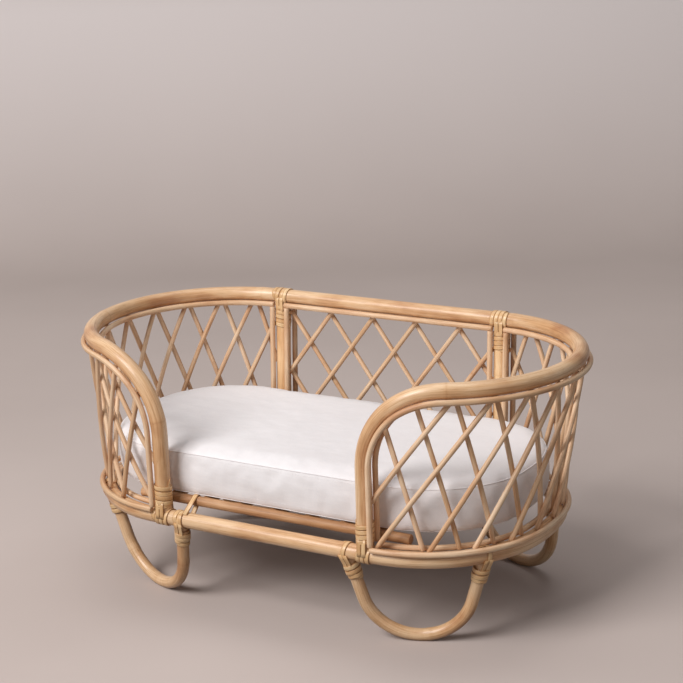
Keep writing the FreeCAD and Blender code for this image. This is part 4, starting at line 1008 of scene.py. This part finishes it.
# %% Cushion cotton
THREADS = 1700.0
cotton = Finish("cushion_cotton")
where = cotton.place()
weave = cotton.noise(where, THREADS, 2.0)
stretch = cotton.add("ShaderNodeMapping", {"Vector": where, "Scale": (20.0, 34.0, 50.0)})
folds = cotton.noise(stretch.outputs["Vector"], 1.0, 3.0, 0.45)
tone = cotton.two_tones(cotton.noise(where, 9.0, 3.0), (236, 231, 232), (242, 238, 239))
creases = cotton.add("ShaderNodeBump", {"Height": folds, "Strength": 0.22, "Distance": 0.006})
bump = cotton.add("ShaderNodeBump", {"Height": weave, "Strength": 0.2, "Distance": 0.0002,
                                     "Normal": creases.outputs["Normal"]})
tone = cotton.tint(tone, 0.7, weave, (0.3, (0.93, 0.93, 0.94, 1)), (0.6, WHITE))
cotton.dress({"Base Color": tone, "Normal": bump.outputs["Normal"], "Roughness": 0.85,
              "Sheen Weight": 0.2, "Sheen Roughness": 0.5})
print("cotton with a weave of %d threads to the metre" % THREADS)

# %% Cushion pattern
cushion_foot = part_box("cushion_cover")[0].z
SEAM_UP, HEM_UP = 0.0480, 0.004
TOP_RISE, TOP_ROUND = 0.0066, 0.0060
PATTERN_IN = STRIP_OUT + STRIP + 0.003 + 0.0038
END_REACH = 0.007
BELLY, CROWN = 0.0034, 0.0046
SAG, SAG_WIDTH, SAG_HEIGHT = 0.0022, 0.0065, 0.020


def oval(inset, height):
    """Points of the ring's line, this far inside it, at a height over the cushion's foot."""
    count = 240
    line = []
    for i in range(count):
        distance = ring_plan.length * i / count
        point = ring_plan.at(distance) - ring_plan.outward(distance) * inset
        further = END_REACH * min(1.0, max(-1.0, point.x / corner_x))
        line.append(point + Vector((further, 0, cushion_foot + height)))
    return line


deepest = 0.105
profile = [(deepest, 0.0), (0.080, 0.0), (0.050, 0.0), (0.025, 0.0), (0.008, 0.0),
           (0.0025, 0.0006), (0.0006, 0.0026), (0.0, 0.006), (0.0, 0.018), (0.0, 0.030),
           (0.0, SEAM_UP)]
for inset in (0.001, 0.0025, 0.005, 0.009, 0.014, 0.022, 0.034, 0.052, 0.075, deepest):
    profile.append((inset, SEAM_UP + TOP_RISE * (1 - math.exp(-inset / TOP_ROUND))))
loops = [oval(PATTERN_IN + inset, height) for inset, height in profile]
count = len(loops[0])
points = [tuple(point) for loop in loops for point in loop]
faces = [tuple(reversed(range(count)))]
for i in range(len(loops) - 1):
    for k in range(count):
        near = (k + 1) % count
        low, high = i * count, (i + 1) * count
        faces.append((low + k, low + near, high + near, high + k))
faces.append(tuple((len(loops) - 1) * count + k for k in range(count)))
pattern = bpy.data.meshes.new("cushion_pattern")
pattern.from_pydata(points, [], faces)
cushion = placed("sewn_cushion", pattern)
print("pattern: %.0f mm long, %.0f mm deep" % tuple(v * 1000 for v in cushion.dimensions[:2]))

# %% [markdown]
# ## Filling the cushion
# The pattern is remeshed to even squares, so that cloth can bend anywhere, and twenty frames of
# cloth with air pressure fill it. It could be sculpted, but then every seam would be a guess.
# Left alone, this cloth would swell by about two centimetres, so each point is stopped at the
# few millimetres that a well-stuffed cover bulges. Over half of the loose points reach that
# limit, so it shapes the cushion as much as the cloth does. The sag all round the foot of the
# band and the puckers beside the seam are added after it.



# %% Even cloth
def settled(piece):
    """The mesh of a piece with its modifiers applied."""
    graph = bpy.context.evaluated_depsgraph_get()
    mesh = bpy.data.meshes.new_from_object(piece.evaluated_get(graph))
    piece.modifiers.clear()
    piece.data = mesh
    return mesh


def with_normals(mesh):
    """Each point of a mesh with its normal, all read before any point is moved."""
    return zip(mesh.vertices, [vertex.normal.copy() for vertex in mesh.vertices])


remesh = cushion.modifiers.new("even_cloth", "REMESH")
remesh.mode = "VOXEL"
remesh.voxel_size = 0.0048
mesh = settled(cushion)
before = [vertex.co.copy() for vertex in mesh.vertices]
held = cushion.vertex_groups.new(name="held")
for vertex in mesh.vertices:
    up = vertex.co.z - cushion_foot
    if up < 0.003 or abs(up - SEAM_UP) < 0.0028:
        held.add([vertex.index], 1.0, "REPLACE")
print("cloth: %d faces, %d points held by the seams" % (len(mesh.polygons), sum(
    bool(vertex.groups) for vertex in mesh.vertices)))

# %% Air in the cover
cloth = cushion.modifiers.new("filling", "CLOTH")
for setting, value in (("quality", 6), ("mass", 0.2), ("tension_stiffness", 12.0),
                       ("compression_stiffness", 12.0), ("bending_stiffness", 0.4),
                       ("vertex_group_mass", "held"), ("shrink_min", -0.018),
                       ("use_pressure", True), ("uniform_pressure_force", 4.0)):
    setattr(cloth.settings, setting, value)
cloth.settings.effector_weights.gravity = 0.0
cloth.collision_settings.use_collision = False
for moment in range(1, 21):
    bpy.context.scene.frame_set(moment)
mesh = settled(cushion)
bpy.context.scene.frame_set(1)
farthest, stopped = 0.0, 0
for vertex, start in zip(mesh.vertices, before):
    move = vertex.co - start
    farthest = max(farthest, move.length)
    over_seam = start.z - cushion_foot - SEAM_UP
    room = CROWN if over_seam > 0.003 else BELLY
    room *= min(1.0, 0.12 + (abs(over_seam) / 0.016) ** 1.5)
    if move.length > room:
        vertex.co = start + move * (room / move.length)
        stopped += 1
print("the cloth moved by up to %.1f mm, and %d of %d points were stopped at a limit" % (
    farthest * 1000, stopped, len(mesh.vertices)))

# %% Sag at the foot of the band
smooth = cushion.modifiers.new("soft_cloth", "SMOOTH")
smooth.factor = 0.5
smooth.iterations = 3
mesh = settled(cushion)
outline = KDTree(2 * count)
for i, point in enumerate(oval(PATTERN_IN, 0.0) + oval(PATTERN_IN - 0.002, 0.0)):
    outline.insert((point.x, point.y, 0.0), i)
outline.balance()
for vertex in mesh.vertices:
    up = vertex.co.z - cushion_foot
    if up < SAG_HEIGHT:
        inset = outline.find((vertex.co.x, vertex.co.y, 0.0))[2]
        share = math.exp(-(inset / SAG_WIDTH) ** 2) * (1 - max(up, 0.0) / SAG_HEIGHT)
        vertex.co.z -= SAG * share
filling_mesh = mesh.copy()
print("foot of the cushion at %.1f mm" % (min(v.co.z for v in mesh.vertices) * 1000))

# %% Puckers beside the seam
finer = cushion.modifiers.new("finer_cloth", "SUBSURF")
finer.levels = finer.render_levels = 1
mesh = settled(cushion)
for vertex, normal in with_normals(mesh):
    near = math.exp(-((vertex.co.z - cushion_foot - SEAM_UP) / 0.011) ** 2)
    pucker = noise.noise(vertex.co * 55.0) + 0.6 * noise.noise(vertex.co * 120.0)
    vertex.co += normal * (0.0006 * near * pucker)
mesh.polygons.foreach_set("use_smooth", [True] * len(mesh.polygons))
mesh.materials.clear()
mesh.materials.append(cotton.material)
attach(cushion, "cushion")
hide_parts("cushion_cover")
print("cushion: %.0f x %.0f x %.0f mm, %d faces" % (*(v * 1000 for v in cushion.dimensions),
                                                   len(mesh.polygons)))

# %% Filling inside the cover
COVER_THICK = 0.0025
filling_mesh.polygons.foreach_set("use_smooth", [True] * len(filling_mesh.polygons))
for vertex, normal in with_normals(filling_mesh):
    vertex.co = vertex.co - normal * COVER_THICK
wadding = Finish("cushion_wadding")
tufts = wadding.noise(wadding.place(), 320.0, 4.0, 0.7)
wadding.dress({"Base Color": wadding.two_tones(tufts, (226, 222, 214), (244, 241, 236)),
               "Roughness": 0.95})
filling_mesh.materials.clear()
filling_mesh.materials.append(wadding.material)
filling = placed("cushion_wadding", filling_mesh)
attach(filling, "cushion")
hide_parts("cushion_filling")
print("filling: %d faces" % len(filling_mesh.polygons))

# %% Welt, hem and stitches
surface = BVHTree.FromPolygons([v.co for v in cushion.data.vertices],
                               [tuple(p.vertices) for p in cushion.data.polygons])


def round_the_side(height, count=420):
    """Points on the cover all the way round, and the way out from each."""
    line, ways = [], []
    for i in range(count):
        distance = ring_plan.length * i / count
        out = ring_plan.outward(distance)
        start = ring_plan.at(distance) + Vector((0, 0, cushion_foot + height))
        hit = surface.ray_cast(start, -out)[0]
        if hit:
            line.append(hit)
            ways.append(out)
    count = len(line)
    return [sum((line[(i + k) % count] for k in (-2, -1, 0, 1, 2)), Vector()) / 5
            for i in range(count)], ways


WELT, THREAD = 0.0007, 0.00020
sewing = Stock()
for height, proud in ((SEAM_UP, 0.1), (HEM_UP - 0.0035, -0.1)):
    line, ways = round_the_side(height)
    line = [point + way * WELT * proud for point, way in zip(line, ways)]
    sewing.pole(line, WELT, sides=10, step=0.003, closed=True, waver=0.05)
for height in (SEAM_UP - 0.0034, HEM_UP + 0.0035):
    line, ways = round_the_side(height, 800)
    for i in range(0, len(line) - 2, 2):
        start, end = line[i] + ways[i] * 0.00005, line[i + 1] + ways[i + 1] * 0.00005
        gap = (end - start) * 0.10
        sewing.pole([start + gap, end - gap], THREAD, sides=6, step=0.002)
sewing.make("cushion_welt_and_stitches", cotton.material, "cushion_cloth", body="cushion")
print("cushion top at %.1f mm" % (max(v.co.z for v in cushion.data.vertices) * 1000))

# %% [markdown]
# ## Studio
# A pale floor that turns up into a wall behind the bed keeps the surroundings quiet. A pale
# floor would also throw its light back up and wash out the shade under the poles, so a Light
# Path node shows the pale colour to the camera and to rays from a gloss or through clear stuff,
# and every other ray meets a darker one. The world works the same way: a pale room to the eye
# and to the varnish, and only a weak fill to the bed. The key lamp is large and stands far off,
# so near and far poles get nearly the same light.

# %% Rays that see the pale colour
def seen_by_eye(tree):
    """1 for a ray that shows a surface to the viewer, straight or in a gloss, and 0 for others."""
    ray = tree.nodes.new("ShaderNodeLightPath")
    seen = ray.outputs["Is Camera Ray"]
    for kind in ("Is Glossy Ray", "Is Transmission Ray"):
        either = tree.nodes.new("ShaderNodeMath")
        either.operation = "MAXIMUM"
        tree.links.new(seen, either.inputs[0])
        tree.links.new(ray.outputs[kind], either.inputs[1])
        seen = either.outputs["Value"]
    return seen


# %% Floor and backdrop
BOUNCE = (0.20, 0.17, 0.15, 1)
stage = Finish("studio_floor")
place = stage.place()
height = stage.add("ShaderNodeSeparateXYZ", {0: place}).outputs["Z"]
ground = stage.two_tones(stage.noise(place, 2.0, 3.0), (192, 178, 172), (199, 185, 179))
wall = stage.add("ShaderNodeMapRange", {"Value": height, "From Max": 0.5}).outputs["Result"]
pale = stage.mix("MIX", wall, ground, linear(236, 226, 224))
stage.dress({"Base Color": stage.mix("MIX", seen_by_eye(stage.tree), BOUNCE, pale),
             "Roughness": 0.9})
BEND, WALL_AT, HALF_WIDTH = 0.6, 1.6, 4.5
profile = [(-4.0, 0.0)]
for i in range(13):
    turn = math.pi / 2 * i / 12
    profile.append((WALL_AT + BEND * math.sin(turn), BEND - BEND * math.cos(turn)))
profile.append((WALL_AT + BEND, 3.0))
corners = [(x, depth, height) for depth, height in profile for x in (-HALF_WIDTH, HALF_WIDTH)]
faces = [(2 * i, 2 * i + 1, 2 * i + 3, 2 * i + 2) for i in range(len(profile) - 1)]
floor_mesh = bpy.data.meshes.new("studio_floor")
floor_mesh.from_pydata(corners, [], faces)
floor_mesh.materials.append(stage.material)
floor_mesh.polygons.foreach_set("use_smooth", [True] * len(faces))
floor = placed("studio_floor", floor_mesh)
floor.rotation_euler = (0.0, 0.0, math.radians(30.6))
print("floor: %.1f m wide" % (2 * HALF_WIDTH))


# %% Lights
def softbox(name, place, aim, size, power, colour=(1, 1, 1)):
    """A rectangular lamp that faces the point it is aimed at."""
    data = bpy.data.lights.new(name, "AREA")
    data.shape = "RECTANGLE"
    data.size, data.size_y = size
    data.energy = power
    data.color = colour
    lamp = placed(name, data)
    lamp.location = place
    way = Vector(place) - Vector(aim)
    lamp.rotation_euler = way.to_track_quat("Z", "Y").to_euler()
    print("%s: %g W" % (name, power))


softbox("key_softbox", (-1.1, -2.9, 2.8), (0, 0, 0.15), (2.2, 1.9), 156.0, (1.0, 0.985, 0.975))
softbox("fill_softbox", (2.2, -1.0, 1.4), (0, 0, 0.15), (1.5, 1.2), 4.0, (1.0, 0.98, 0.97))
softbox("top_softbox", (-0.2, 0.5, 2.4), (0, 0, 0.1), (1.8, 1.4), 14.0)
world = bpy.data.worlds.new("studio_world")
bpy.context.scene.world = world
world.use_nodes = True
sky, room = world.node_tree, world.node_tree.nodes["Background"]
room.inputs["Color"].default_value = (0.9, 0.89, 0.9, 1)
strength = sky.nodes.new("ShaderNodeMapRange")
strength.inputs["To Min"].default_value = 0.17
strength.inputs["To Max"].default_value = 0.62
sky.links.new(seen_by_eye(sky), strength.inputs["Value"])
sky.links.new(strength.outputs["Result"], room.inputs["Strength"])
bpy.context.scene.view_settings.view_transform = "Standard"
